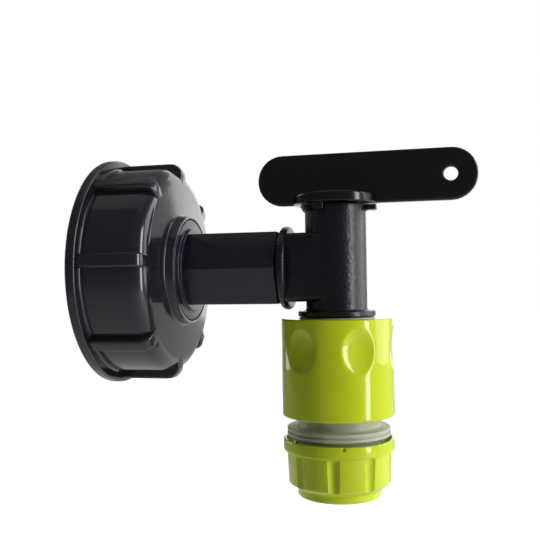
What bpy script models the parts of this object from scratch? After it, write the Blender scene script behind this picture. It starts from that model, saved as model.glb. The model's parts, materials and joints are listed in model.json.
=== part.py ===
"""Tank outlet valve: swivel cap, hexagonal tail, quarter-turn plug tap and quick hose connector.

Metres. The pipe runs along +X from the tank's seal plane at x = 0, the tap stands upright (+Z) at its
far end, and z = 0 is the pipe's axis. Heights below are measured from that axis.
"""

import math

import bmesh
import bpy
from mathutils import Matrix, Vector

# Clearance between pieces that touch, and how far cutters run past what they cut
GAP = 0.0003
OVERRUN = 0.001

# Fillets of a crisp, a soft and a round moulded edge, and the share of a side that one fillet may take
FINE_EDGE = 0.0003
SOFT_EDGE = 0.0005
ROUND_EDGE = 0.0007
FILLET_SHARE = 0.45

# Facets: steps round a large, middling and small turned piece, and the angle that one step of a fillet takes
STEPS_LARGE = 32
STEPS_MIDDLE = 24
STEPS_SMALL = 20
FILLET_STEP = math.radians(45.0)
COLLAR_STEPS = 16
STOP_STEPS = 2
BLADE_END_STEPS = 10
HOLE_STEPS = 12
SEAL_TURN_STEPS = 18
SEAL_WIRE_STEPS = 6
LENS_TURN_STEPS = 20
LENS_RING_STEPS = 14
FLUTE_STEPS = 12
SHARP_ANGLE = math.radians(35.0)
SAME_PLACE = 0.000001

# The waterway through the whole valve, which the pieces round it take their sizes from
WATERWAY_R = 0.0044

# Coupling nut: the ribbed cap, whose thread root is for a 60 mm coarse thread of 6 mm pitch
THREAD_ROOT_R = 0.0303
THREAD_DEPTH = 0.0030
CAP_WALL = 0.0027
CAP_RIB_RISE = 0.0022
CAP_RIB_WIDTH = 0.0042
CAP_RIB_COUNT = 8
CAP_RIB_PHASE = math.radians(-4.0)
CAP_RIB_FRONT = 0.0001
CAP_RIB_ROUND = 0.0042
CAP_FLANGE_RISE = 0.0012
CAP_FLANGE_T = 0.0032
CAP_MOUTH_DEPTH = 0.0133
CAP_FRONT_WALL = 0.0032
CAP_CONE_SLOPE = 0.04
CAP_SHOULDER_FILLET = 0.0052
BOSS_WALL = 0.0012
BOSS_DRAFT = 0.0003
BOSS_HEIGHT = 0.0029

# Seal washer and inlet tail
SEAL_T = 0.0030
SEAL_WIDTH = 0.0085
TAIL_FLANGE_T = 0.0030
TAIL_SHOULDER_RISE = 0.0028
TAIL_BORE_RISE = 0.0016
HEX_WALL = 0.00135
HEX_LENGTH = 0.0300
HEX_ROOT_RISE = 0.0005
HEX_ROOT_LENGTH = 0.0010

# Tap's inlet: spigot in the tail, its ring seal, the bead and the square neck
SPIGOT_WALL = 0.0038
SPIGOT_LENGTH = 0.0125
INLET_SEAL_WIRE_R = 0.00055
BEAD_RISE = 0.0001
BEAD_WIDTH = 0.0028
BEAD_FILLET = 0.0020
NECK_LENGTH = 0.0141
NECK_HEIGHT = 0.0211
NECK_INSET = 0.0002
NECK_EDGE = 0.0018

# Tap's barrel, stop collar and outlet flange
BARREL_WALL = 0.0026
BARREL_RISE = 0.0191
BARREL_DROP = 0.0136
VALVE_FLOOR_T = 0.0011
COLLAR_HEIGHT = 0.0018
COLLAR_FOOT_RISE = 0.0005
COLLAR_RISE = 0.0015
EAR_RISE = 0.0034
EAR_HEIGHT = 0.0016
EAR_WIDTH = math.radians(21.0)
TAP_FLANGE_REACH = 0.0025
TAP_FLANGE_T = 0.0016
TAP_FLANGE_FILLET = 0.0009

# Quarter turn: the lug under the handle runs in the gap of the collar
QUARTER_TURN = math.radians(90.0)
LUG_START = math.radians(-117.0)
LUG_WIDTH = math.radians(16.0)
LUG_T = 0.0019
LUG_DROP = 0.0021
STOP_CLEARANCE = math.radians(2.0)

# Plug, its ring seals, the seat and the snap ring
PLUG_SEAL_WIRE_R = 0.0006
PLUG_WALL = 0.0007
UPPER_SEAL_DROP = 0.0050
LOWER_SEAL_RISE = 0.0032
CHAMBER_ROOM = 0.0008
STEM_RISE = 0.0007
SQUARE_SIDE = 0.0052
SOCKET_ROOF = 0.0006
SEAT_WALL = 0.0010
SEAT_LENGTH = 0.0043
SNAP_RING_T = 0.0010
SNAP_GROOVE_DEPTH = 0.0010
SNAP_LAND = 0.0009
SNAP_OPENING = math.radians(50.0)

# Handle
DISC_REACH = 0.0036
DISC_T = 0.0030
DISC_DOME = 0.0008
HUB_DEPTH = 0.0032
BLADE_T = 0.0030
BLADE_END_R = 0.0080
BLADE_BACK = 0.0164
BLADE_FRONT = 0.0353
BLADE_RISE = 0.0001
BLADE_EDGE = 0.0007
HANG_HOLE_R = 0.0021

# Outlet nipple: shank, jaw groove, taper, ring seal and tip
NIPPLE_WALL = 0.0015
NIPPLE_STEP = 0.0009
NIPPLE_GROOVE_DEPTH = 0.0014
NIPPLE_SHANK = 0.0057
NIPPLE_LAND = 0.0020
NIPPLE_TAPER = 0.0025
NIPPLE_SEAL_LAND = 0.0018
NIPPLE_SEAL_WIRE_R = 0.00075
NIPPLE_NOSE = 0.0024

# Locking jaws and the release sleeve
JAW_COUNT = 4
JAW_HEIGHT = 0.0034
JAW_WIDTH = 0.0050
JAW_FOOT_RISE = 0.0006
JAW_TRAVEL = 0.0014
JAW_LEAD = 0.0006
SLEEVE_TRAVEL = 0.0032
SLEEVE_LENGTH = 0.0298
SLEEVE_WEDGE_WALL = 0.00165
SLEEVE_CHAMBER_WALL = 0.0018
SLEEVE_LAND = 0.0047
SLEEVE_EDGE = 0.0010
DIMPLE_COUNT = 6
DIMPLE_PHASE = math.radians(-121.0)
DIMPLE_DEPTH = 0.0013
DIMPLE_DROP = 0.0092
LENS_THICKNESS = 0.0050
LENS_HALF_WIDTH = 0.0109
LENS_HALF_HEIGHT = 0.00966

# Sleeve spring
SPRING_WIRE_R = 0.00055
SPRING_TURNS = 5.5
SPRING_CLOSE_PITCH = 0.00125
SPRING_STEPS = 10

# Connector body
TUBE_WALL = 0.0028
SPRING_SEAT_T = 0.0020
SPRING_SEAT_REACH = 0.0006
NECK_RISE = 0.0005
GRIP_FLANGE_REACH = 0.0027
GRIP_FLANGE_T = 0.0026
GRIP_LIP_T = 0.0010
GRIP_GROOVE_DEPTH = 0.0006
GRIP_GROOVE_T = 0.0005
MALE_THREAD_WALL = 0.0031
MALE_THREAD_LENGTH = 0.0067
HOSE_ROOM = 0.0041
HOSE_SOCKET_DEPTH = 0.0050
BARB_WALL = 0.0016
BARB_RIDGE = 0.0006
BARB_PITCH = 0.0036
BARB_COUNT = 3
BARB_DROP = 0.0177

# Hose nut, its thread's travel, and the claw ring in it
NUT_PITCH = 0.0025
NUT_SHUT_GAP = 0.0008
NUT_RIM_WALL = 0.0009
NUT_RIM_HEIGHT = 0.0036
NUT_RECESS = 0.0018
NUT_WALL = 0.0026
NUT_TAPER = 0.0004
NUT_BODY_HEIGHT = 0.0098
NUT_CHAMFER = 0.0019
NUT_RING_WALL = 0.0015
NUT_MOUTH_T = 0.0013
FLUTE_COUNT = 9
FLUTE_PHASE = math.radians(-83.0)
FLUTE_WIDTH = 0.0038
FLUTE_DEPTH = 0.0009
CLAW_CONE = 0.0036
CLAW_NECKING = 0.0021
CLAW_WALL = 0.0011
CLAW_RING_T = 0.0019
CLAW_LENGTH = 0.0085
CLAW_COUNT = 8
CLAW_SLOT = 0.0016
CLAW_TOOTH = 0.0004

# Along the pipe, from the seal plane
SPIGOT_R = WATERWAY_R + SPIGOT_WALL
TAIL_BORE_R = WATERWAY_R + TAIL_BORE_RISE
HEX_FLATS = 2.0 * (SPIGOT_R + GAP + 2.0 * INLET_SEAL_WIRE_R + GAP + HEX_WALL)
HEX_CORNER_R = HEX_FLATS / math.sqrt(3.0)
HEX_ROOT_R = HEX_CORNER_R + HEX_ROOT_RISE
BEAD_R = HEX_CORNER_R + BEAD_RISE
TAIL_SHOULDER_R = HEX_ROOT_R + TAIL_SHOULDER_RISE
TAIL_FLANGE_R = THREAD_ROOT_R - THREAD_DEPTH - GAP
SEAL_BORE_R = TAIL_FLANGE_R - SEAL_WIDTH
TAIL_BACK = SEAL_T + GAP
TAIL_RIM_FRONT = TAIL_BACK + TAIL_FLANGE_T
CAP_BODY_R = THREAD_ROOT_R + CAP_WALL
CAP_RIB_R = CAP_BODY_R + CAP_RIB_RISE
CAP_FLANGE_R = CAP_RIB_R + CAP_FLANGE_RISE
BOSS_BORE_R = TAIL_SHOULDER_R + GAP
BOSS_R = BOSS_BORE_R + BOSS_WALL


def cap_inside(radius):
    """Where the cap's conical inner face stands at this radius, a clearance in front of the tail's flange."""
    return TAIL_RIM_FRONT + GAP + (TAIL_FLANGE_R - radius) * CAP_CONE_SLOPE


def cap_outside(radius):
    """Where the cap's conical outer face stands at this radius."""
    return cap_inside(radius) + CAP_FRONT_WALL


BOSS_TOP = cap_outside(BOSS_R) + BOSS_HEIGHT
HEX_END = BOSS_TOP + HEX_LENGTH
BEAD_BACK = HEX_END + GAP
BEAD_FRONT = BEAD_BACK + BEAD_WIDTH
SPIGOT_TIP = BEAD_BACK - SPIGOT_LENGTH
TAP_X = BEAD_FRONT + NECK_LENGTH

# Up the tap, from the pipe's axis
PLUG_SEAL_FLOOR_R = WATERWAY_R + PLUG_WALL
PLUG_R = PLUG_SEAL_FLOOR_R + 2.0 * PLUG_SEAL_WIRE_R + GAP
VALVE_BORE_R = PLUG_R + GAP
BARREL_R = VALVE_BORE_R + BARREL_WALL
DISC_R = BARREL_R + DISC_REACH
TAP_FLANGE_R = BARREL_R + TAP_FLANGE_REACH
STEM_R = SQUARE_SIDE / math.sqrt(2.0) + STEM_RISE
DISC_BOTTOM = BARREL_RISE + GAP
DISC_TOP = DISC_BOTTOM + DISC_T
HUB_BOTTOM = DISC_BOTTOM - HUB_DEPTH
STEM_SHOULDER = HUB_BOTTOM - GAP
SQUARE_TOP = DISC_TOP + DISC_DOME - SOCKET_ROOF - GAP
SNAP_GROOVE_TOP = HUB_BOTTOM - SNAP_LAND
SNAP_RING_TOP = SNAP_GROOVE_TOP - GAP
SNAP_RING_BOTTOM = SNAP_RING_TOP - SNAP_RING_T
PLUG_TOP = SNAP_RING_BOTTOM - GAP
VALVE_FLOOR = VALVE_FLOOR_T - BARREL_DROP
PLUG_BOTTOM = VALVE_FLOOR + GAP
UPPER_SEAL_Z = PLUG_TOP - UPPER_SEAL_DROP
LOWER_SEAL_Z = PLUG_BOTTOM + LOWER_SEAL_RISE
CHAMBER_TOP = WATERWAY_R + CHAMBER_ROOM
BLADE_Z = DISC_BOTTOM + BLADE_RISE + BLADE_END_R

# Down the nipple, the connector, its sleeve and jaws
NIPPLE_SEAL_FLOOR_R = WATERWAY_R + NIPPLE_WALL
NIPPLE_TIP_R = NIPPLE_SEAL_FLOOR_R + 2.0 * NIPPLE_SEAL_WIRE_R + GAP
NIPPLE_R = NIPPLE_TIP_R + NIPPLE_STEP
TUBE_R = NIPPLE_R + GAP + TUBE_WALL
NECK_R = TUBE_R + NECK_RISE
TAP_FLANGE_BOTTOM = -BARREL_DROP - TAP_FLANGE_T
GROOVE_TOP = TAP_FLANGE_BOTTOM - NIPPLE_SHANK
JAW_TOP = GROOVE_TOP - GAP
JAW_BOTTOM = JAW_TOP - JAW_HEIGHT
GROOVE_BOTTOM = JAW_BOTTOM - GAP
TAPER_TOP = GROOVE_BOTTOM - NIPPLE_LAND
TAPER_BOTTOM = TAPER_TOP - NIPPLE_TAPER
NIPPLE_SEAL_TOP = TAPER_BOTTOM - NIPPLE_SEAL_LAND
NIPPLE_SEAL_Z = NIPPLE_SEAL_TOP - GAP - NIPPLE_SEAL_WIRE_R
NIPPLE_SEAL_BOTTOM = NIPPLE_SEAL_Z - NIPPLE_SEAL_WIRE_R - GAP
NIPPLE_TIP = NIPPLE_SEAL_BOTTOM - NIPPLE_NOSE
JAW_IN_R = NIPPLE_R - NIPPLE_GROOVE_DEPTH + GAP
SLEEVE_BORE_R = TUBE_R + GAP
CONNECTOR_TOP = TAP_FLANGE_BOTTOM - GAP
SLEEVE_TOP = CONNECTOR_TOP - GAP
SLEEVE_BOTTOM = SLEEVE_TOP - SLEEVE_LENGTH
SLEEVE_SHOULDER = GROOVE_BOTTOM - SLEEVE_LAND
WEDGE_TOP = JAW_TOP + SLEEVE_TRAVEL + GAP
GRIP_FLANGE_TOP = SLEEVE_BOTTOM - SLEEVE_TRAVEL - GAP
GRIP_FLANGE_BOTTOM = GRIP_FLANGE_TOP - GRIP_FLANGE_T
SPRING_SEAT_BOTTOM = SLEEVE_BOTTOM + SPRING_SEAT_REACH
SPRING_SEAT_TOP = SPRING_SEAT_BOTTOM + SPRING_SEAT_T
MALE_THREAD_END = GRIP_FLANGE_BOTTOM - MALE_THREAD_LENGTH
BARB_END = GRIP_FLANGE_BOTTOM - BARB_DROP


def wedge(height):
    """Radius of the jaws' sloping outer face at this height: its slope is their travel over the sleeve's."""
    return TUBE_R + JAW_FOOT_RISE + (height - JAW_BOTTOM) * JAW_TRAVEL / SLEEVE_TRAVEL


SLEEVE_R = wedge(WEDGE_TOP) + GAP + SLEEVE_WEDGE_WALL
SLEEVE_CHAMBER_R = SLEEVE_R - SLEEVE_CHAMBER_WALL

# Down the hose nut and the claw ring
BARB_R = WATERWAY_R + BARB_WALL
HOSE_SOCKET_R = BARB_R + HOSE_ROOM
MALE_THREAD_R = HOSE_SOCKET_R + MALE_THREAD_WALL
GRIP_FLANGE_R = MALE_THREAD_R + GRIP_FLANGE_REACH
NUT_RIM_R = GRIP_FLANGE_R + GAP + NUT_RIM_WALL
NUT_TIGHTEN = NUT_PITCH / 2.0
NUT_TOP = GRIP_FLANGE_BOTTOM - NUT_SHUT_GAP
NUT_RIM_BOTTOM = NUT_TOP - NUT_RIM_HEIGHT
NUT_BODY_BOTTOM = NUT_RIM_BOTTOM - NUT_BODY_HEIGHT
NUT_RING_TOP = NUT_BODY_BOTTOM - NUT_CHAMFER
NUT_THREAD_R = MALE_THREAD_R + GAP
NUT_BODY_R = NUT_THREAD_R + NUT_WALL
NUT_FOOT_R = NUT_BODY_R - NUT_TAPER
CLAW_TOP = MALE_THREAD_END - NUT_TIGHTEN - GAP
CLAW_CONE_TOP = CLAW_TOP - CLAW_RING_T
CLAW_CONE_BOTTOM = CLAW_CONE_TOP - CLAW_CONE
CLAW_BOTTOM = CLAW_TOP - CLAW_LENGTH
CLAW_NOSE_R = MALE_THREAD_R - CLAW_NECKING
CLAW_BORE_R = CLAW_NOSE_R - CLAW_WALL
NUT_RING_R = CLAW_NOSE_R + GAP + NUT_RING_WALL
NUT_MOUTH_TOP = CLAW_BOTTOM - GAP
NUT_BOTTOM = NUT_MOUTH_TOP - NUT_MOUTH_T

MATERIALS = {
    "cap": ((0.018, 0.018, 0.020), 0.30, 0.0),
    "pipe": ((0.014, 0.014, 0.018), 0.28, 0.0),
    "tap": ((0.016, 0.017, 0.019), 0.42, 0.0),
    "handle": ((0.010, 0.010, 0.010), 0.55, 0.0),
    "lime": ((0.58, 0.76, 0.016), 0.22, 0.0),
    "grey": ((0.29, 0.29, 0.25), 0.40, 0.0),
    "rubber": ((0.020, 0.020, 0.020), 0.75, 0.0),
    "acetal": ((0.72, 0.72, 0.68), 0.35, 0.0),
    "steel": ((0.62, 0.62, 0.60), 0.28, 1.0),
}

for old in list(bpy.data.objects):
    bpy.data.objects.remove(old)

PARTS = bpy.data.collections.new("tank_valve")
CUTTERS = bpy.data.collections.new("cutters")
bpy.context.scene.collection.children.link(PARTS)
bpy.context.scene.collection.children.link(CUTTERS)


def empty(name, place, turn=(0.0, 0.0, 0.0)):
    """An axis that pieces hang from."""
    made = bpy.data.objects.new(name, None)
    made.location = place
    made.rotation_euler = turn
    made.empty_display_size = 0.01
    PARTS.objects.link(made)
    return made


# Local z of the pipe's axis runs along world +X, and local y stays world +Y
PIPE = empty("pipe_axis", (0.0, 0.0, 0.0), (0.0, math.radians(90.0), 0.0))
TAP = empty("tap_axis", (TAP_X, 0.0, 0.0))


def cutter(obj):
    """Moves a helper shape out of the model: it only cuts or joins."""
    PARTS.objects.unlink(obj)
    CUTTERS.objects.link(obj)
    obj.hide_render = True
    obj.display_type = "WIRE"
    return obj


def from_mesh(name, mesh, axis):
    """A new object of this mesh on one of the two axes."""
    made = bpy.data.objects.new(name, mesh)
    made.parent = axis
    PARTS.objects.link(made)
    return made


def from_bmesh(name, shape, axis):
    """A new object of this bmesh on one of the two axes."""
    mesh = bpy.data.meshes.new(name)
    shape.to_mesh(mesh)
    shape.free()
    return from_mesh(name, mesh, axis)


def rounded(corners):
    """A closed outline through (across, up) corners, where a third number is that corner's fillet radius.

    A fillet takes at most a set share of each side that it touches.
    """
    outline = []
    for index, corner in enumerate(corners):
        here = Vector(corner[:2])
        radius = corner[2] if len(corner) > 2 else 0.0
        before = Vector(corners[index - 1][:2]) - here
        after = Vector(corners[(index + 1) % len(corners)][:2]) - here
        if radius <= 0.0 or min(before.length, after.length) < SAME_PLACE:
            outline.append(here)
            continue
        half = before.angle(after) / 2.0
        reach = min(radius / math.tan(half), FILLET_SHARE * before.length, FILLET_SHARE * after.length)
        middle = before.normalized() + after.normalized()
        centre = here + middle.normalized() * reach / math.cos(half)
        spoke = here + before.normalized() * reach - centre
        turn = math.pi - 2.0 * half
        if before.x * after.y - before.y * after.x > 0.0:
            turn = -turn
        steps = max(1, round(abs(turn) / FILLET_STEP))
        for step in range(steps + 1):
            outline.append(centre + Matrix.Rotation(turn * step / steps, 2) @ spoke)
    return outline


def turned(name, corners, axis, steps=STEPS_MIDDLE):
    """A solid of revolution about the axis, from a closed outline of (radius, height) corners."""
    outline = rounded(corners)
    pairs = zip(outline, outline[1:] + outline[:1])
    if sum(a.x * b.y - b.x * a.y for a, b in pairs) > 0.0:
        outline.reverse()
    on_axis = [
        index for index, point in enumerate(outline) if max(outline[index - 1].x, point.x) < SAME_PLACE
    ]
    start = on_axis[0] if on_axis else 0
    outline = outline[start:] + outline[:start]
    edges = [(index, index + 1) for index in range(len(outline) - 1)]
    if not on_axis:
        edges.append((len(outline) - 1, 0))
    mesh = bpy.data.meshes.new(name)
    mesh.from_pydata([(point.x, 0.0, point.y) for point in outline], edges, [])
    made = from_mesh(name, mesh, axis)
    screw = made.modifiers.new("turn", "SCREW")
    screw.axis = "Z"
    screw.steps = steps
    screw.render_steps = steps
    screw.use_merge_vertices = True
    screw.merge_threshold = SAME_PLACE
    return made


def arc_block(name, corners, start, sweep, axis, steps):
    """Part of a ring: a (radius, height) outline swept about the axis from one angle through another."""
    shape = bmesh.new()
    points = [Vector((point.x, 0.0, point.y)) for point in rounded(corners)]
    face = shape.faces.new([shape.verts.new(point) for point in points])
    whole = list(face.verts) + list(face.edges) + [face]
    bmesh.ops.rotate(shape, verts=face.verts, cent=(0, 0, 0), matrix=Matrix.Rotation(start, 3, "Z"))
    bmesh.ops.spin(shape, geom=whole, cent=(0, 0, 0), axis=(0, 0, 1), angle=sweep, steps=steps)
    bmesh.ops.recalc_face_normals(shape, faces=shape.faces)
    return from_bmesh(name, shape, axis)


def rod(name, radius, low, high, axis, steps=STEPS_SMALL):
    """A round bar about the axis between two heights."""
    shape = bmesh.new()
    middle = Matrix.Translation((0.0, 0.0, (low + high) / 2.0))
    bmesh.ops.create_cone(
        shape, cap_ends=True, segments=steps, radius1=radius, radius2=radius, depth=high - low, matrix=middle
    )
    return from_bmesh(name, shape, axis)


def box(name, low, high, axis):
    """A box between two corners."""
    shape = bmesh.new()
    size = Vector(high) - Vector(low)
    place = Matrix.Translation((Vector(high) + Vector(low)) / 2.0) @ Matrix.Diagonal((*size, 1.0))
    bmesh.ops.create_cube(shape, size=1.0, matrix=place)
    return from_bmesh(name, shape, axis)


def ring_seal(name, major, wire, height, axis):
    """A round seal about the axis."""
    bpy.ops.mesh.primitive_torus_add(
        major_segments=SEAL_TURN_STEPS,
        minor_segments=SEAL_WIRE_STEPS,
        major_radius=major,
        minor_radius=wire,
        location=(0, 0, 0),
    )
    made = bpy.context.object
    for home in list(made.users_collection):
        home.objects.unlink(made)
    PARTS.objects.link(made)
    made.name = name
    made.parent = axis
    made.location = (0.0, 0.0, height)
    return made


def flat(name, outlines, thickness, axis):
    """A plate from flat outlines, the first its edge and the others holes."""
    curve = bpy.data.curves.new(name, "CURVE")
    curve.dimensions = "2D"
    curve.fill_mode = "BOTH"
    curve.extrude = thickness / 2.0
    for outline in outlines:
        spline = curve.splines.new("POLY")
        spline.points.add(len(outline) - 1)
        for point, (across, up) in zip(spline.points, outline):
            point.co = (across, up, 0.0, 1.0)
        spline.use_cyclic_u = True
    return mesh_of_curve(name, curve, axis)


def mesh_of_curve(name, curve, axis):
    """The curve's surface as a mesh object, its caps welded to its sides."""
    guide = bpy.data.objects.new(name, curve)
    PARTS.objects.link(guide)
    graph = bpy.context.evaluated_depsgraph_get()
    mesh = bpy.data.meshes.new_from_object(guide.evaluated_get(graph))
    bpy.data.objects.remove(guide)
    shape = bmesh.new()
    shape.from_mesh(mesh)
    bmesh.ops.remove_doubles(shape, verts=shape.verts, dist=SAME_PLACE)
    bmesh.ops.recalc_face_normals(shape, faces=shape.faces)
    bpy.data.meshes.remove(mesh)
    return from_bmesh(name, shape, axis)


def combine(obj, operation, others):
    """Joins, cuts or intersects a piece with helper shapes, one after another."""
    for other in others:
        modifier = obj.modifiers.new(f"{operation.lower()} {other.name}", "BOOLEAN")
        modifier.operation = operation
        modifier.solver = "EXACT"
        modifier.object = other
        cutter(other)
    return obj


def finished(obj, look):
    """Applies the piece's modifiers, drops the slivers that cuts leave, and gives it its look."""
    graph = bpy.context.evaluated_depsgraph_get()
    mesh = bpy.data.meshes.new_from_object(obj.evaluated_get(graph))
    shape = bmesh.new()
    shape.from_mesh(mesh)
    bmesh.ops.remove_doubles(shape, verts=shape.verts, dist=SAME_PLACE)
    bmesh.ops.dissolve_degenerate(shape, edges=shape.edges, dist=SAME_PLACE)
    shape.to_mesh(mesh)
    shape.free()
    obj.modifiers.clear()
    obj.data = mesh
    mesh.name = obj.name
    mesh.shade_smooth()
    mesh.set_sharp_from_angle(angle=SHARP_ANGLE)
    colour, roughness, metallic = MATERIALS[look]
    material = bpy.data.materials.new(f"{obj.name}_{look}")
    material.use_nodes = True
    shader = material.node_tree.nodes["Principled BSDF"]
    shader.inputs["Base Color"].default_value = (*colour, 1.0)
    shader.inputs["Roughness"].default_value = roughness
    shader.inputs["Metallic"].default_value = metallic
    mesh.materials.clear()
    mesh.materials.append(material)
    return obj


def circle(radius, across, up, steps):
    """Points of a circle."""
    angles = [2.0 * math.pi * step / steps for step in range(steps)]
    return [(across + radius * math.cos(a), up + radius * math.sin(a)) for a in angles]


def coupling_nut():
    """The swivel cap: flange, ribbed skirt, shallow front and the boss that turns on the tail's shoulder."""
    back = -CAP_MOUTH_DEPTH
    cap = turned("coupling_nut", [
        (THREAD_ROOT_R, back, SOFT_EDGE),
        (CAP_FLANGE_R, back, ROUND_EDGE),
        (CAP_FLANGE_R, back + CAP_FLANGE_T, ROUND_EDGE),
        (CAP_BODY_R, back + CAP_FLANGE_T, ROUND_EDGE),
        (CAP_BODY_R, cap_outside(CAP_BODY_R), CAP_SHOULDER_FILLET),
        (BOSS_R, cap_outside(BOSS_R), ROUND_EDGE),
        (BOSS_R - BOSS_DRAFT, BOSS_TOP, SOFT_EDGE),
        (BOSS_BORE_R, BOSS_TOP),
        (BOSS_BORE_R, cap_inside(BOSS_BORE_R)),
        (THREAD_ROOT_R, cap_inside(THREAD_ROOT_R), ROUND_EDGE),
    ], PIPE, STEPS_LARGE)
    ribs = []
    inner = THREAD_ROOT_R + CAP_WALL / 2.0
    merge_r = CAP_BODY_R - CAP_SHOULDER_FILLET - CAP_RIB_RISE
    front = cap_outside(inner)
    outline = [
        (inner, back + CAP_FLANGE_T / 2.0),
        (CAP_RIB_R, back + CAP_FLANGE_T / 2.0),
        (CAP_RIB_R, front + CAP_RIB_FRONT, CAP_RIB_ROUND),
        (merge_r, front + CAP_RIB_FRONT),
        (merge_r, front - CAP_FRONT_WALL / 2.0),
        (inner, front - CAP_FRONT_WALL),
    ]
    for index in range(CAP_RIB_COUNT):
        rib = flat(f"rib_{index}", [[tuple(point) for point in rounded(outline)]], CAP_RIB_WIDTH, PIPE)
        spread = Matrix.Rotation(2.0 * math.pi * index / CAP_RIB_COUNT, 4, "Z")
        phase = Matrix.Rotation(CAP_RIB_PHASE - math.radians(90.0), 4, "Z")
        rib.matrix_local = phase @ spread @ Matrix.Rotation(math.radians(90.0), 4, "X")
        ribs.append(rib)
    return finished(combine(cap, "UNION", ribs), "cap")


def seal_washer():
    """The flat ring that seals the tank's neck on the tail's flange."""
    return finished(turned("seal_washer", [
        (SEAL_BORE_R, 0.0),
        (TAIL_FLANGE_R, 0.0),
        (TAIL_FLANGE_R, SEAL_T),
        (SEAL_BORE_R, SEAL_T),
    ], PIPE), "rubber")


def inlet_tail():
    """The flange and shoulder that the cap holds, and the hexagonal barrel that takes the tap's spigot."""
    tail = turned("inlet_tail", [
        (0.0, TAIL_BACK),
        (TAIL_FLANGE_R, TAIL_BACK),
        (TAIL_FLANGE_R, TAIL_RIM_FRONT, SOFT_EDGE),
        (TAIL_SHOULDER_R, cap_inside(TAIL_SHOULDER_R) - GAP),
        (TAIL_SHOULDER_R, BOSS_TOP, FINE_EDGE),
        (HEX_ROOT_R, BOSS_TOP, ROUND_EDGE),
        (HEX_ROOT_R, BOSS_TOP + HEX_ROOT_LENGTH, SOFT_EDGE),
        (0.0, BOSS_TOP + HEX_ROOT_LENGTH),
    ], PIPE)
    barrel = rod("hex", HEX_CORNER_R, TAIL_RIM_FRONT, HEX_END, PIPE, 6)
    socket_r = SPIGOT_R + GAP
    recess_r = socket_r + 2.0 * INLET_SEAL_WIRE_R + GAP
    recess = HEX_END - 2.0 * INLET_SEAL_WIRE_R - GAP
    bore = turned("tail_bore", [
        (0.0, TAIL_BACK - OVERRUN),
        (TAIL_BORE_R, TAIL_BACK - OVERRUN),
        (TAIL_BORE_R, SPIGOT_TIP - GAP),
        (socket_r, SPIGOT_TIP - GAP),
        (socket_r, recess),
        (recess_r, recess),
        (recess_r, HEX_END + OVERRUN),
        (0.0, HEX_END + OVERRUN),
    ], PIPE)
    return finished(combine(combine(tail, "UNION", [barrel]), "DIFFERENCE", [bore]), "pipe")


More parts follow.
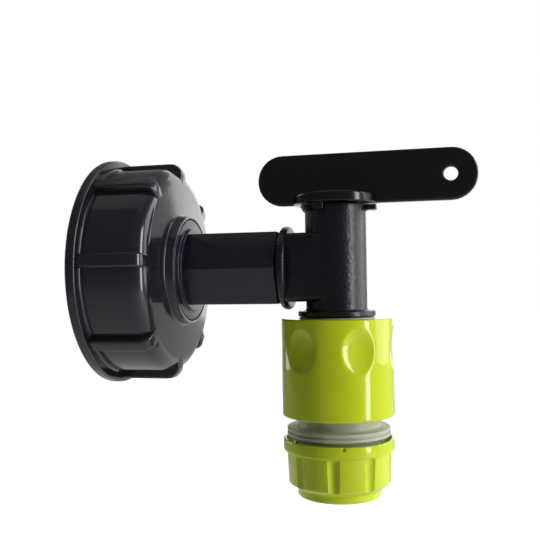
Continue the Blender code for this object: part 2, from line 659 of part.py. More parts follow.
def tap_body():
    """Spigot, bead, square neck, barrel with its stop collar, flange and nipple, and their bores."""
    groove_r = NIPPLE_R - NIPPLE_GROOVE_DEPTH
    body = turned("tap_body", [
        (0.0, BARREL_RISE),
        (BARREL_R, BARREL_RISE, FINE_EDGE),
        (BARREL_R, -BARREL_DROP, TAP_FLANGE_FILLET),
        (TAP_FLANGE_R, -BARREL_DROP, FINE_EDGE),
        (TAP_FLANGE_R, TAP_FLANGE_BOTTOM),
        (NIPPLE_R, TAP_FLANGE_BOTTOM),
        (NIPPLE_R, GROOVE_TOP),
        (groove_r, GROOVE_TOP),
        (groove_r, GROOVE_BOTTOM),
        (NIPPLE_R, GROOVE_BOTTOM),
        (NIPPLE_R, TAPER_TOP),
        (NIPPLE_TIP_R, TAPER_BOTTOM),
        (NIPPLE_TIP_R, NIPPLE_SEAL_TOP),
        (NIPPLE_SEAL_FLOOR_R, NIPPLE_SEAL_TOP),
        (NIPPLE_SEAL_FLOOR_R, NIPPLE_SEAL_BOTTOM),
        (NIPPLE_TIP_R, NIPPLE_SEAL_BOTTOM),
        (NIPPLE_TIP_R, NIPPLE_TIP, ROUND_EDGE),
        (0.0, NIPPLE_TIP),
    ], TAP)
    inlet = turned("spigot", [
        (0.0, SPIGOT_TIP),
        (SPIGOT_R, SPIGOT_TIP, SOFT_EDGE),
        (SPIGOT_R, BEAD_BACK),
        (BEAD_R, BEAD_BACK, BEAD_FILLET),
        (BEAD_R, BEAD_FRONT, ROUND_EDGE),
        (0.0, BEAD_FRONT),
    ], PIPE)
    half_width = BARREL_R - NECK_INSET
    half_height = NECK_HEIGHT / 2.0
    back = BEAD_FRONT - BEAD_WIDTH / 2.0 - TAP_X
    neck = box("neck", (back, -half_width, -half_height), (0.0, half_width, half_height), TAP)
    bevel = neck.modifiers.new("edges", "BEVEL")
    bevel.width = NECK_EDGE
    bevel.segments = 1
    collar_start = LUG_START + LUG_WIDTH + QUARTER_TURN + STOP_CLEARANCE
    collar_sweep = 2.0 * math.pi - LUG_WIDTH - QUARTER_TURN - 2.0 * STOP_CLEARANCE
    root = (BARREL_R + VALVE_BORE_R) / 2.0
    foot = BARREL_RISE - COLLAR_HEIGHT
    collar = arc_block("collar", [
        (root, foot),
        (BARREL_R + COLLAR_FOOT_RISE, foot),
        (BARREL_R + COLLAR_RISE, BARREL_RISE),
        (root, BARREL_RISE),
    ], collar_start, collar_sweep, TAP, COLLAR_STEPS)
    ear = arc_block("ear", [
        (root, BARREL_RISE - EAR_HEIGHT),
        (BARREL_R + EAR_RISE, BARREL_RISE - EAR_HEIGHT),
        (BARREL_R + EAR_RISE, BARREL_RISE),
        (root, BARREL_RISE),
    ], collar_start, EAR_WIDTH, TAP, STOP_STEPS)
    snap_groove_bottom = SNAP_RING_BOTTOM - GAP
    bore = turned("valve_bore", [
        (0.0, BARREL_RISE + OVERRUN),
        (VALVE_BORE_R, BARREL_RISE + OVERRUN),
        (VALVE_BORE_R, SNAP_GROOVE_TOP),
        (VALVE_BORE_R + SNAP_GROOVE_DEPTH, SNAP_GROOVE_TOP),
        (VALVE_BORE_R + SNAP_GROOVE_DEPTH, snap_groove_bottom),
        (VALVE_BORE_R, snap_groove_bottom),
        (VALVE_BORE_R, VALVE_FLOOR),
        (WATERWAY_R, VALVE_FLOOR),
        (WATERWAY_R, NIPPLE_TIP - OVERRUN),
        (0.0, NIPPLE_TIP - OVERRUN),
    ], TAP)
    pocket_r = WATERWAY_R + SEAT_WALL + GAP
    pocket_back = TAP_X - VALVE_BORE_R - SEAT_LENGTH - GAP
    channel = turned("inlet_channel", [
        (0.0, SPIGOT_TIP - OVERRUN),
        (WATERWAY_R, SPIGOT_TIP - OVERRUN),
        (WATERWAY_R, pocket_back),
        (pocket_r, pocket_back),
        (pocket_r, TAP_X),
        (0.0, TAP_X),
    ], PIPE)
    combine(body, "UNION", [inlet, neck, collar, ear])
    return finished(combine(body, "DIFFERENCE", [bore, channel]), "tap")


def seat_seal():
    """The rubber bush in the neck, whose end is cut to the plug's curve."""
    back = TAP_X - VALVE_BORE_R - SEAT_LENGTH
    seat = turned("seat_seal", [
        (WATERWAY_R, back),
        (WATERWAY_R + SEAT_WALL, back),
        (WATERWAY_R + SEAT_WALL, TAP_X - WATERWAY_R / 2.0),
        (WATERWAY_R, TAP_X - WATERWAY_R / 2.0),
    ], PIPE, STEPS_SMALL)
    plug_space = rod("plug_space", VALVE_BORE_R, PLUG_BOTTOM, PLUG_TOP, TAP, STEPS_MIDDLE)
    return finished(combine(seat, "DIFFERENCE", [plug_space]), "rubber")


def valve_plug():
    """The plug: an open-footed chamber with a side port, two seal grooves, a stem and the handle's square."""
    groove_half = PLUG_SEAL_WIRE_R + GAP
    outline = [(0.0, STEM_SHOULDER), (STEM_R, STEM_SHOULDER), (STEM_R, PLUG_TOP), (PLUG_R, PLUG_TOP)]
    for height in (UPPER_SEAL_Z, LOWER_SEAL_Z):
        outline += [
            (PLUG_R, height + groove_half),
            (PLUG_SEAL_FLOOR_R, height + groove_half),
            (PLUG_SEAL_FLOOR_R, height - groove_half),
            (PLUG_R, height - groove_half),
        ]
    outline += [(PLUG_R, PLUG_BOTTOM), (WATERWAY_R, PLUG_BOTTOM)]
    outline += [(WATERWAY_R, CHAMBER_TOP), (0.0, CHAMBER_TOP)]
    plug = turned("valve_plug", outline, TAP, STEPS_SMALL)
    half = SQUARE_SIDE / 2.0
    square = box("square", (-half, -half, STEM_SHOULDER - OVERRUN), (half, half, SQUARE_TOP), TAP)
    port = rod("port", WATERWAY_R, TAP_X - VALVE_BORE_R - OVERRUN, TAP_X, PIPE)
    return finished(combine(combine(plug, "UNION", [square]), "DIFFERENCE", [port]), "acetal")


def retaining_ring():
    """The open snap ring that keeps the plug down."""
    return finished(arc_block("retaining_ring", [
        (STEM_R + 2.0 * GAP, SNAP_RING_BOTTOM),
        (VALVE_BORE_R + SNAP_GROOVE_DEPTH - GAP, SNAP_RING_BOTTOM),
        (VALVE_BORE_R + SNAP_GROOVE_DEPTH - GAP, SNAP_RING_TOP),
        (STEM_R + 2.0 * GAP, SNAP_RING_TOP),
    ], SNAP_OPENING / 2.0, 2.0 * math.pi - SNAP_OPENING, TAP, STEPS_SMALL), "steel")


def handle():
    """The key: a base disc with a hub down the barrel, a stop lug under it and a flat blade over it."""
    base = turned("handle", [
        (0.0, DISC_TOP + DISC_DOME),
        (DISC_R, DISC_TOP, ROUND_EDGE),
        (DISC_R, DISC_BOTTOM, FINE_EDGE),
        (PLUG_R, DISC_BOTTOM),
        (PLUG_R, HUB_BOTTOM, FINE_EDGE),
        (0.0, HUB_BOTTOM),
    ], TAP)
    edge = []
    for centre, start in ((BLADE_FRONT, -math.pi / 2.0), (-BLADE_BACK, math.pi / 2.0)):
        for step in range(BLADE_END_STEPS + 1):
            angle = start + math.pi * step / BLADE_END_STEPS
            edge.append((centre + BLADE_END_R * math.cos(angle), BLADE_END_R * math.sin(angle)))
    hole = circle(HANG_HOLE_R, BLADE_FRONT, 0.0, HOLE_STEPS)
    blade = flat("blade", [edge, hole], BLADE_T, TAP)
    blade.matrix_local = Matrix.Translation((0.0, 0.0, BLADE_Z)) @ Matrix.Rotation(math.radians(90.0), 4, "X")
    bevel = blade.modifiers.new("edges", "BEVEL")
    bevel.width = BLADE_EDGE
    bevel.segments = 1
    bevel.limit_method = "ANGLE"
    bevel.angle_limit = math.radians(60.0)
    lug_foot = DISC_BOTTOM - LUG_DROP
    lug_head = DISC_BOTTOM + DISC_T / 4.0
    lug = arc_block("lug", [
        (BARREL_R + GAP, lug_foot),
        (BARREL_R + GAP + LUG_T, lug_foot),
        (BARREL_R + GAP + LUG_T, lug_head),
        (BARREL_R + GAP, lug_head),
    ], LUG_START, LUG_WIDTH, TAP, STOP_STEPS)
    half = SQUARE_SIDE / 2.0 + GAP
    socket = box("socket", (-half, -half, HUB_BOTTOM - OVERRUN), (half, half, SQUARE_TOP + GAP), TAP)
    combine(base, "UNION", [blade, lug])
    return finished(combine(base, "DIFFERENCE", [socket]), "handle")


def connector_body():
    """The connector's grey half: socket tube, jaw windows, spring seat, flange, male thread and barb."""
    outline = [
        (TUBE_R, CONNECTOR_TOP, FINE_EDGE),
        (TUBE_R, SPRING_SEAT_TOP),
        (SLEEVE_CHAMBER_R - GAP, SPRING_SEAT_TOP),
        (SLEEVE_CHAMBER_R - GAP, SPRING_SEAT_BOTTOM),
        (NECK_R, SPRING_SEAT_BOTTOM),
        (NECK_R, GRIP_FLANGE_TOP, SOFT_EDGE),
        (GRIP_FLANGE_R, GRIP_FLANGE_TOP, FINE_EDGE),
        (GRIP_FLANGE_R, GRIP_FLANGE_TOP - GRIP_LIP_T),
        (GRIP_FLANGE_R - GRIP_GROOVE_DEPTH, GRIP_FLANGE_TOP - GRIP_LIP_T),
        (GRIP_FLANGE_R - GRIP_GROOVE_DEPTH, GRIP_FLANGE_TOP - GRIP_LIP_T - GRIP_GROOVE_T),
        (GRIP_FLANGE_R, GRIP_FLANGE_TOP - GRIP_LIP_T - GRIP_GROOVE_T),
        (GRIP_FLANGE_R, GRIP_FLANGE_BOTTOM, FINE_EDGE),
        (MALE_THREAD_R, GRIP_FLANGE_BOTTOM),
        (MALE_THREAD_R, MALE_THREAD_END, SOFT_EDGE),
        (HOSE_SOCKET_R, MALE_THREAD_END),
        (HOSE_SOCKET_R, MALE_THREAD_END + HOSE_SOCKET_DEPTH),
    ]
    ridges_top = BARB_END + BARB_COUNT * BARB_PITCH
    outline.append((BARB_R, MALE_THREAD_END + HOSE_SOCKET_DEPTH))
    for index in range(BARB_COUNT):
        top = ridges_top - index * BARB_PITCH
        outline += [(BARB_R, top), (BARB_R + BARB_RIDGE, top - BARB_RIDGE / 2.0)]
    outline += [
        (BARB_R - BARB_RIDGE, BARB_END, FINE_EDGE),
        (WATERWAY_R, BARB_END),
        (WATERWAY_R, NIPPLE_TIP - GAP),
        (NIPPLE_TIP_R + GAP, NIPPLE_TIP - GAP),
        (NIPPLE_TIP_R + GAP, TAPER_BOTTOM),
        (NIPPLE_R + GAP, TAPER_TOP),
        (NIPPLE_R + GAP, CONNECTOR_TOP),
    ]
    body = turned("connector_body", outline, TAP)
    half = JAW_WIDTH / 2.0 + GAP
    windows = []
    for index in range(JAW_COUNT):
        low = (JAW_IN_R, -half, GROOVE_BOTTOM)
        window = box(f"window_{index}", low, (TUBE_R + OVERRUN, half, GROOVE_TOP), TAP)
        window.rotation_euler = (0.0, 0.0, jaw_angle(index))
        windows.append(window)
    return finished(combine(body, "DIFFERENCE", windows), "grey")


def jaw_angle(index):
    """Where jaws and windows stand round the connector, halfway between along and across the pipe."""
    return math.pi * (2 * index + 1) / JAW_COUNT


def locking_jaws():
    """The jaws: slices of a ring that hooks into the nipple's groove, outside sloped to the sleeve."""
    ring = turned("jaw_ring", [
        (JAW_IN_R, JAW_TOP),
        (wedge(JAW_TOP), JAW_TOP),
        (wedge(JAW_BOTTOM), JAW_BOTTOM),
        (JAW_IN_R + JAW_LEAD, JAW_BOTTOM),
        (JAW_IN_R, JAW_BOTTOM + JAW_LEAD),
    ], TAP, STEPS_LARGE)
    half = JAW_WIDTH / 2.0
    low = (0.0, -half, JAW_BOTTOM - OVERRUN)
    slice_box = box("jaw_slice", low, (SLEEVE_R, half, JAW_TOP + OVERRUN), TAP)
    pattern = finished(combine(ring, "INTERSECT", [slice_box]), "steel")
    jaws = []
    for index in range(JAW_COUNT):
        jaw = from_mesh(f"locking_jaw_{index + 1}", pattern.data.copy(), TAP)
        jaw.rotation_euler = (0.0, 0.0, jaw_angle(index))
        jaws.append(jaw)
    bpy.data.objects.remove(pattern)
    return jaws


def dimple(index):
    """A lens whose inner side presses one finger dimple into the sleeve."""
    centre = SLEEVE_R - DIMPLE_DEPTH + LENS_THICKNESS
    shape = bmesh.new()
    bmesh.ops.create_uvsphere(shape, u_segments=LENS_TURN_STEPS, v_segments=LENS_RING_STEPS, radius=1.0)
    bmesh.ops.scale(shape, vec=(LENS_THICKNESS, LENS_HALF_WIDTH, LENS_HALF_HEIGHT), verts=shape.verts)
    bmesh.ops.translate(shape, vec=(centre, 0.0, SLEEVE_TOP - DIMPLE_DROP), verts=shape.verts)
    lens = from_bmesh(f"dimple_{index}", shape, TAP)
    lens.rotation_euler = (0.0, 0.0, DIMPLE_PHASE + 2.0 * math.pi * index / DIMPLE_COUNT)
    return lens


def release_sleeve():
    """The sleeve: a lip round the tube, the wedge over the jaws, a guide land and the spring's chamber."""
    outline = [
        (SLEEVE_BORE_R, SLEEVE_TOP, FINE_EDGE),
        (SLEEVE_R, SLEEVE_TOP, SLEEVE_EDGE),
        (SLEEVE_R, SLEEVE_BOTTOM, SLEEVE_EDGE),
        (SLEEVE_CHAMBER_R, SLEEVE_BOTTOM),
        (SLEEVE_CHAMBER_R, SLEEVE_SHOULDER),
        (SLEEVE_BORE_R, SLEEVE_SHOULDER),
        (SLEEVE_BORE_R, GROOVE_BOTTOM),
        (wedge(GROOVE_BOTTOM) + GAP, GROOVE_BOTTOM),
        (wedge(WEDGE_TOP) + GAP, WEDGE_TOP),
        (SLEEVE_BORE_R, WEDGE_TOP),
    ]
    sleeve = turned("release_sleeve", outline, TAP, STEPS_LARGE)
    return finished(combine(sleeve, "DIFFERENCE", [dimple(index) for index in range(DIMPLE_COUNT)]), "lime")


def sleeve_spring():
    """The coil between the connector's seat and the sleeve's shoulder, with a closed turn at each end."""
    low = SPRING_SEAT_TOP + GAP + SPRING_WIRE_R
    high = SLEEVE_SHOULDER - GAP - SPRING_WIRE_R
    middle_r = (SLEEVE_BORE_R + SLEEVE_CHAMBER_R) / 2.0
    open_pitch = (high - low - 2.0 * SPRING_CLOSE_PITCH) / (SPRING_TURNS - 2.0)
    curve = bpy.data.curves.new("sleeve_spring", "CURVE")
    curve.dimensions = "3D"
    curve.bevel_depth = SPRING_WIRE_R
    curve.bevel_resolution = 2
    curve.use_fill_caps = True
    spline = curve.splines.new("POLY")
    count = round(SPRING_TURNS * SPRING_STEPS) + 1
    spline.points.add(count - 1)
    for index, point in enumerate(spline.points):
        turn = SPRING_TURNS * index / (count - 1)
        closed_below = min(turn, 1.0) * SPRING_CLOSE_PITCH
        closed_above = max(turn - SPRING_TURNS + 1.0, 0.0) * SPRING_CLOSE_PITCH
        opened = min(max(turn - 1.0, 0.0), SPRING_TURNS - 2.0) * open_pitch
        angle = 2.0 * math.pi * turn
        height = low + closed_below + opened + closed_above
        point.co = (middle_r * math.cos(angle), middle_r * math.sin(angle), height, 1.0)
    return finished(mesh_of_curve("sleeve_spring", curve, TAP), "steel")


def hose_nut():
    """The nut: a wide rim round the grey flange, a fluted body, a stepped foot and the claws' cone."""
    recess = NUT_TOP - NUT_RECESS
    nose_r = CLAW_NOSE_R + GAP
    nut = turned("hose_nut", [
        (NUT_RIM_R - NUT_RIM_WALL, NUT_TOP),
        (NUT_RIM_R, NUT_TOP, SOFT_EDGE),
        (NUT_RIM_R, NUT_RIM_BOTTOM, ROUND_EDGE),
        (NUT_BODY_R, NUT_RIM_BOTTOM),
        (NUT_FOOT_R, NUT_BODY_BOTTOM, ROUND_EDGE),
        (NUT_RING_R, NUT_RING_TOP),
        (NUT_RING_R, NUT_BOTTOM, ROUND_EDGE),
        (CLAW_BORE_R, NUT_BOTTOM, FINE_EDGE),
        (CLAW_BORE_R, NUT_MOUTH_TOP),
        (nose_r, NUT_MOUTH_TOP),
        (nose_r, CLAW_CONE_BOTTOM),
        (NUT_THREAD_R, CLAW_CONE_TOP),
        (NUT_THREAD_R, recess),
        (NUT_RIM_R - NUT_RIM_WALL, recess),
    ], TAP, 4 * FLUTE_COUNT)
    flutes = []
    radius = (FLUTE_WIDTH**2 / 4.0 + FLUTE_DEPTH**2) / (2.0 * FLUTE_DEPTH)
    middle_r = (NUT_BODY_R + NUT_FOOT_R) / 2.0 + radius - FLUTE_DEPTH
    for index in range(FLUTE_COUNT):
        flute = rod(f"flute_{index}", radius, NUT_RING_TOP - OVERRUN, NUT_RIM_BOTTOM - GAP, TAP, FLUTE_STEPS)
        angle = FLUTE_PHASE + 2.0 * math.pi * index / FLUTE_COUNT
        flute.location = (middle_r * math.cos(angle), middle_r * math.sin(angle), 0.0)
        flutes.append(flute)
    return finished(combine(nut, "DIFFERENCE", flutes), "lime")


def hose_collet():
    """The claw ring: a plain band over slotted fingers, coned outside and toothed inside."""
    ring = turned("hose_collet", [
        (CLAW_BORE_R, CLAW_TOP),
        (MALE_THREAD_R, CLAW_TOP),
        (MALE_THREAD_R, CLAW_CONE_TOP),
        (CLAW_NOSE_R, CLAW_CONE_BOTTOM),
        (CLAW_NOSE_R, CLAW_BOTTOM),
        (CLAW_BORE_R - CLAW_TOOTH, CLAW_BOTTOM),
        (CLAW_BORE_R, CLAW_BOTTOM + 2.0 * CLAW_TOOTH),
    ], TAP, 3 * CLAW_COUNT)
    slots = []
    half = CLAW_SLOT / 2.0
    for index in range(CLAW_COUNT // 2):
        slot = box(
            f"slot_{index}",
            (-NUT_RIM_R, -half, CLAW_BOTTOM - OVERRUN),
            (NUT_RIM_R, half, CLAW_CONE_TOP),
            TAP,
        )
        slot.rotation_euler = (0.0, 0.0, 2.0 * math.pi * (index + 0.5) / CLAW_COUNT)
        slots.append(slot)
    return finished(combine(ring, "DIFFERENCE", slots), "acetal")


def ring_seals():
    """The four round seals: on the spigot, above and below the plug's port, and on the nipple."""
    major = SPIGOT_R + GAP + INLET_SEAL_WIRE_R
    finished(ring_seal("inlet_o_ring", major, INLET_SEAL_WIRE_R, HEX_END - INLET_SEAL_WIRE_R, PIPE), "rubber")
    major = PLUG_R - PLUG_SEAL_WIRE_R
    finished(ring_seal("plug_o_ring_upper", major, PLUG_SEAL_WIRE_R, UPPER_SEAL_Z, TAP), "rubber")
    finished(ring_seal("plug_o_ring_lower", major, PLUG_SEAL_WIRE_R, LOWER_SEAL_Z, TAP), "rubber")
    major = NIPPLE_TIP_R - NIPPLE_SEAL_WIRE_R
    finished(ring_seal("connector_o_ring", major, NIPPLE_SEAL_WIRE_R, NIPPLE_SEAL_Z, TAP), "rubber")


coupling_nut()
seal_washer()
inlet_tail()
tap_body()
seat_seal()
valve_plug()
retaining_ring()
ring_seals()
handle()
connector_body()
locking_jaws()
release_sleeve()
sleeve_spring()
hose_nut()
hose_collet()

for helper in list(CUTTERS.objects):
    bpy.data.objects.remove(helper)
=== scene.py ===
"""A tank outlet valve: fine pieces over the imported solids, their finishes and a plain white studio.

Metres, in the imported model's frame: the pipe runs along +X, the tap stands along +Z,
and the cap's seal is at x = 0.
"""

import json
import logging
import math
from dataclasses import dataclass
from enum import Enum
from itertools import pairwise
from typing import Sequence

import bmesh
import bpy
from mathutils import Matrix, Vector


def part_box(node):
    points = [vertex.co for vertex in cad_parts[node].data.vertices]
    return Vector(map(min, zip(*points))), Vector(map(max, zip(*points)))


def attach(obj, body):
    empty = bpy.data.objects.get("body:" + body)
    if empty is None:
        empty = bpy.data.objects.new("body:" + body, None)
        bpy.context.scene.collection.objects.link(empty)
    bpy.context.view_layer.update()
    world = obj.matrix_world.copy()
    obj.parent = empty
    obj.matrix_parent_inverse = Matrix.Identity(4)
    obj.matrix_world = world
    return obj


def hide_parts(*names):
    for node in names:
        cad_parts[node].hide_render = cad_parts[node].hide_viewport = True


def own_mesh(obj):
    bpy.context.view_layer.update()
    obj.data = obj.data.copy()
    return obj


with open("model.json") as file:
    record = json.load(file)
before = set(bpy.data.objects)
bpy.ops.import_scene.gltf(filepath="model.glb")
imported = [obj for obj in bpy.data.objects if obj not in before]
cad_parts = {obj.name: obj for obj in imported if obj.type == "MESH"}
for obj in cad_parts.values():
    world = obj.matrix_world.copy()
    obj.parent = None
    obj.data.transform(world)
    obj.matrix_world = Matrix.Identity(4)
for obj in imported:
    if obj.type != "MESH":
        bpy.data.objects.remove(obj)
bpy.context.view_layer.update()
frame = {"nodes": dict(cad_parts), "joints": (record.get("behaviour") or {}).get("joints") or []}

LOG = logging.getLogger("valve")

Corner = tuple[float, ...]
Triple = tuple[float, float, float]
Span = tuple[float, float]
Piece = bpy.types.Object
Node = bpy.types.Node
Socket = bpy.types.NodeSocket
Tree = bpy.types.NodeTree

GAP = 0.0003
OVERRUN = 0.001
SAME_PLACE = 0.000002
FULL_TURN = 2.0 * math.pi
QUARTER_TURN = math.pi / 2.0
ORIGIN = (0.0, 0.0, 0.0)
UP = (0.0, 0.0, 1.0)

# Radii of small rounded edges
KEEN = 0.0001
CRISP = 0.0002
EASED = 0.0003
SOFT = 0.0004

# The most of a side that a fillet may take
MOST_CUT = 0.49

# Facets in a full turn
FINE_STEPS = 144
BORE_STEPS = 72
PEG_STEPS = 48
DETAIL_STEPS = 24
THREAD_STEPS = 96

# The turn that one facet takes, on an arc and on a fillet
ARC_FACET = math.radians(3.0)
FILLET_FACET = math.radians(11.25)

# A thread's run-out at each end, in turns, and the share of its height that its very tip keeps
RUN_OUT = 0.12
TIP_SHARE = 0.02

JOINTS = {joint["name"]: joint for joint in frame["joints"]}
TAP_X = JOINTS["handle_turn"]["pos_m"][0]


class Axis(Enum):
    """The two lines that the turned pieces stand on."""

    PIPE = "pipe"
    TAP = "tap"

    def place(self) -> Matrix:
        """Where a piece drawn about the local z axis goes.

        Returns:
            The place: along +X through the origin, or up the tap.
        """
        if self is Axis.PIPE:
            return Matrix.Rotation(QUARTER_TURN, 4, "Y")
        return Matrix.Translation((TAP_X, 0.0, 0.0))

    def turned(self, angle: float) -> Matrix:
        """The axis's place, turned by an angle about the axis itself."""
        return self.place() @ Matrix.Rotation(angle, 4, "Z")


class Combine(Enum):
    """What is done with the other pieces."""

    JOIN = "UNION"
    CUT = "DIFFERENCE"


class Texture(Enum):
    """How a finish's grain runs over its surface."""

    EVEN = (1.0, 1.0, 1.0)
    BRUSHED = (1.0, 1.0, 14.0)


def ramp(tree: Tree, source: Socket, taken: Span, given: Span) -> Socket:
    """Maps a value from one span to another and clamps it.

    Args:
        tree: the nodes to add to.
        source: the value.
        taken: the span that the value is taken from.
        given: the span that it is mapped to.

    Returns:
        The mapped value.
    """
    made = tree.nodes.new("ShaderNodeMapRange")
    for socket, value in zip(("From Min", "From Max", "To Min", "To Max"), (*taken, *given)):
        made.inputs[socket].default_value = value
    tree.links.new(source, made.inputs["Value"])
    return made.outputs["Result"]


def component(tree: Tree, vector: Socket, direction: Triple) -> Socket:
    """How far a vector goes in a direction.

    Args:
        tree: the nodes to add to.
        vector: the vector.
        direction: where the distance is measured to, about one unit long.

    Returns:
        The distance.
    """
    dot = tree.nodes.new("ShaderNodeVectorMath")
    dot.operation = "DOT_PRODUCT"
    dot.inputs[1].default_value = direction
    tree.links.new(vector, dot.inputs[0])
    return dot.outputs["Value"]


def computed(tree: Tree, operation: str, first: Socket, second: Socket) -> Socket:
    """Works out one value from two.

    Args:
        tree: the nodes to add to.
        operation: Blender's name of the operation.
        first: the first value.
        second: the second value.

    Returns:
        The result.
    """
    made = tree.nodes.new("ShaderNodeMath")
    made.operation = operation
    tree.links.new(first, made.inputs[0])
    tree.links.new(second, made.inputs[1])
    return made.outputs[0]


@dataclass(frozen=True)
class Finish:
    """One moulded or rolled surface: its colours, gloss, grain, ripple and a highlight painted along its
    sharp edges.
    """

    name: str
    colour: Triple
    fleck: Triple
    roughness: float
    roughness_span: float
    grain_size: float
    grain_depth: float
    grain_detail: float = 2.0
    ripple_size: float = 0.004
    ripple_depth: float = 0.00001
    ripple_detail: float = 1.0
    cloud_size: float = 0.006
    cloud_detail: float = 3.0
    mottled: Span = (0.35, 0.75)
    glossed: Span = (0.3, 0.7)
    specular: float = 0.5
    coat: float = 0.0
    coat_roughness: float = 0.03
    metallic: float = 0.0
    # A highlight painted along sharp edges: how strong it is, the pointiness span that it covers, and how
    # much paler its colour is
    edge_highlight: float = 0.0
    highlight_edges: Span = (0.52, 0.62)
    highlight_lift: float = 0.05
    highlight_gain: float = 1.6
    subsurface: float = 0.0
    subsurface_depth: float = 0.002
    texture: Texture = Texture.EVEN

    def material(self) -> bpy.types.Material:
        """The node material of this finish, made once and then shared.

        Returns:
            The material.
        """
        made = bpy.data.materials.get(self.name)
        if made is None:
            made = bpy.data.materials.new(self.name)
            made.use_nodes = True
            self._wire(made.node_tree)
        return made

    def _wire(self, tree: Tree) -> None:
        """Sets the shader's plain values and wires its patterns.

        Args:
            tree: the material's nodes.
        """
        shader = tree.nodes["Principled BSDF"]
        for socket, value in (
            ("Metallic", self.metallic),
            ("Specular IOR Level", self.specular),
            ("Coat Weight", self.coat),
            ("Coat Roughness", self.coat_roughness),
            ("Subsurface Weight", self.subsurface),
            ("Subsurface Scale", self.subsurface_depth),
        ):
            shader.inputs[socket].default_value = value
        place = tree.nodes.new("ShaderNodeTexCoord")
        mapping = tree.nodes.new("ShaderNodeMapping")
        mapping.inputs["Scale"].default_value = self.texture.value
        tree.links.new(place.outputs["Object"], mapping.inputs["Vector"])
        cloud = self._noise(tree, mapping, self.cloud_size, self.cloud_detail)
        grain = self._noise(tree, mapping, self.grain_size, self.grain_detail)
        ripple = self._noise(tree, mapping, self.ripple_size, self.ripple_detail)
        tree.links.new(self._paint(tree, cloud), shader.inputs["Base Color"])
        roughness = (self.roughness - self.roughness_span, self.roughness + self.roughness_span)
        tree.links.new(ramp(tree, cloud, self.glossed, roughness), shader.inputs["Roughness"])
        fine = self._bump(tree, grain, self.grain_depth)
        soft = self._bump(tree, ripple, self.ripple_depth)
        tree.links.new(fine.outputs["Normal"], soft.inputs["Normal"])
        tree.links.new(soft.outputs["Normal"], shader.inputs["Normal"])

    def _paint(self, tree: Tree, cloud: Socket) -> Socket:
        """The colour, mottled by a cloud and paler along sharp edges, where a highlight is painted.

        Args:
            tree: the nodes to add to.
            cloud: how cloudy the surface is.

        Returns:
            The colour.
        """
        mottle = self._mix(tree, ramp(tree, cloud, self.mottled, (0.0, 1.0)), self.fleck)
        mottle.inputs["A"].default_value = (*self.colour, 1.0)
        # Painted highlight: sharp convex edges, found by their pointiness, are mixed towards a paler colour
        # that stands in for light caught on the edges
        bare = tree.nodes.new("ShaderNodeNewGeometry")
        edge = ramp(tree, bare.outputs["Pointiness"], self.highlight_edges, (0.0, self.edge_highlight))
        pale = tuple(min(1.0, self.highlight_lift + self.highlight_gain * part) for part in self.colour)
        edge_lit = self._mix(tree, edge, pale)
        tree.links.new(mottle.outputs["Result"], edge_lit.inputs["A"])
        return edge_lit.outputs["Result"]

    @staticmethod
    def _mix(tree: Tree, factor: Socket, colour: Triple) -> Node:
        """A mix that brings in a colour.

        Args:
            tree: the nodes to add to.
            factor: how much of the colour comes in.
            colour: the colour.

        Returns:
            The mix, whose first colour is still open.
        """
        mix = tree.nodes.new("ShaderNodeMix")
        mix.data_type = "RGBA"
        mix.inputs["B"].default_value = (*colour, 1.0)
        tree.links.new(factor, mix.inputs["Factor"])
        return mix

    @staticmethod
    def _noise(tree: Tree, mapping: Node, size: float, detail: float) -> Socket:
        """Noise over the surface.

        Args:
            tree: the nodes to add to.
            mapping: the place on the surface.
            size: about how large a blot is, in metres.
            detail: how finely the blots are broken up.

        Returns:
            The noise's value.
        """
        noise = tree.nodes.new("ShaderNodeTexNoise")
        noise.inputs["Scale"].default_value = 1.0 / size
        noise.inputs["Detail"].default_value = detail
        tree.links.new(mapping.outputs["Vector"], noise.inputs["Vector"])
        return noise.outputs["Fac"]

    @staticmethod
    def _bump(tree: Tree, height: Socket, depth: float) -> Node:
        """A bump.

        Args:
            tree: the nodes to add to.
            height: how high the surface is, from 0 to 1.
            depth: how deep the bump is, in metres.

        Returns:
            The bump.
        """
        bump = tree.nodes.new("ShaderNodeBump")
        bump.inputs["Distance"].default_value = depth
        tree.links.new(height, bump.inputs["Height"])
        return bump


CAP_BLACK = Finish("cap_black", (0.013, 0.014, 0.021), (0.015, 0.016, 0.023), 0.15, 0.03, 0.0003, 0.000006,
                   ripple_depth=0.00003, coat=0.45, coat_roughness=0.09, edge_highlight=0.1)
PIPE_BLACK = Finish("pipe_black", (0.009, 0.010, 0.021), (0.011, 0.012, 0.023), 0.18, 0.03, 0.0004, 0.000003,
                    ripple_depth=0.00002, edge_highlight=0.1)
TAP_BLACK = Finish("tap_black", (0.004, 0.005, 0.011), (0.006, 0.007, 0.013), 0.29, 0.03, 0.0008, 0.00012,
                   edge_highlight=0.1)
KEY_BLACK = Finish("key_black", (0.0045, 0.0045, 0.004), (0.006, 0.006, 0.005), 0.16, 0.03, 0.0005, 0.00001,
                   edge_highlight=0.05)
LIME = Finish("lime", (0.745, 0.90, 0.010), (0.765, 0.91, 0.014), 0.34, 0.03, 0.0004, 0.000002,
              ripple_size=0.006, ripple_depth=0.00004, specular=0.12, coat=0.8)
GREY = Finish("grey", (0.56, 0.57, 0.44), (0.60, 0.61, 0.48), 0.40, 0.05, 0.0003, 0.000008)
RUBBER = Finish("rubber", (0.018, 0.018, 0.018), (0.034, 0.034, 0.033), 0.72, 0.08, 0.0002, 0.00002)
ACETAL = Finish("acetal", (0.70, 0.70, 0.66), (0.76, 0.76, 0.72), 0.34, 0.05, 0.0003, 0.000006,
                subsurface=0.1)
STEEL = Finish("steel", (0.58, 0.58, 0.56), (0.66, 0.66, 0.64), 0.26, 0.08, 0.00025, 0.000006,
               metallic=1.0, texture=Texture.BRUSHED)


def alone(piece: Piece) -> Piece:
    """Makes one piece the active and only selected one.

    Args:
        piece: the piece.

    Returns:
        The same piece.
    """
    bpy.ops.object.select_all(action="DESELECT")
    piece.select_set(True)
    bpy.context.view_layer.objects.active = piece
    return piece


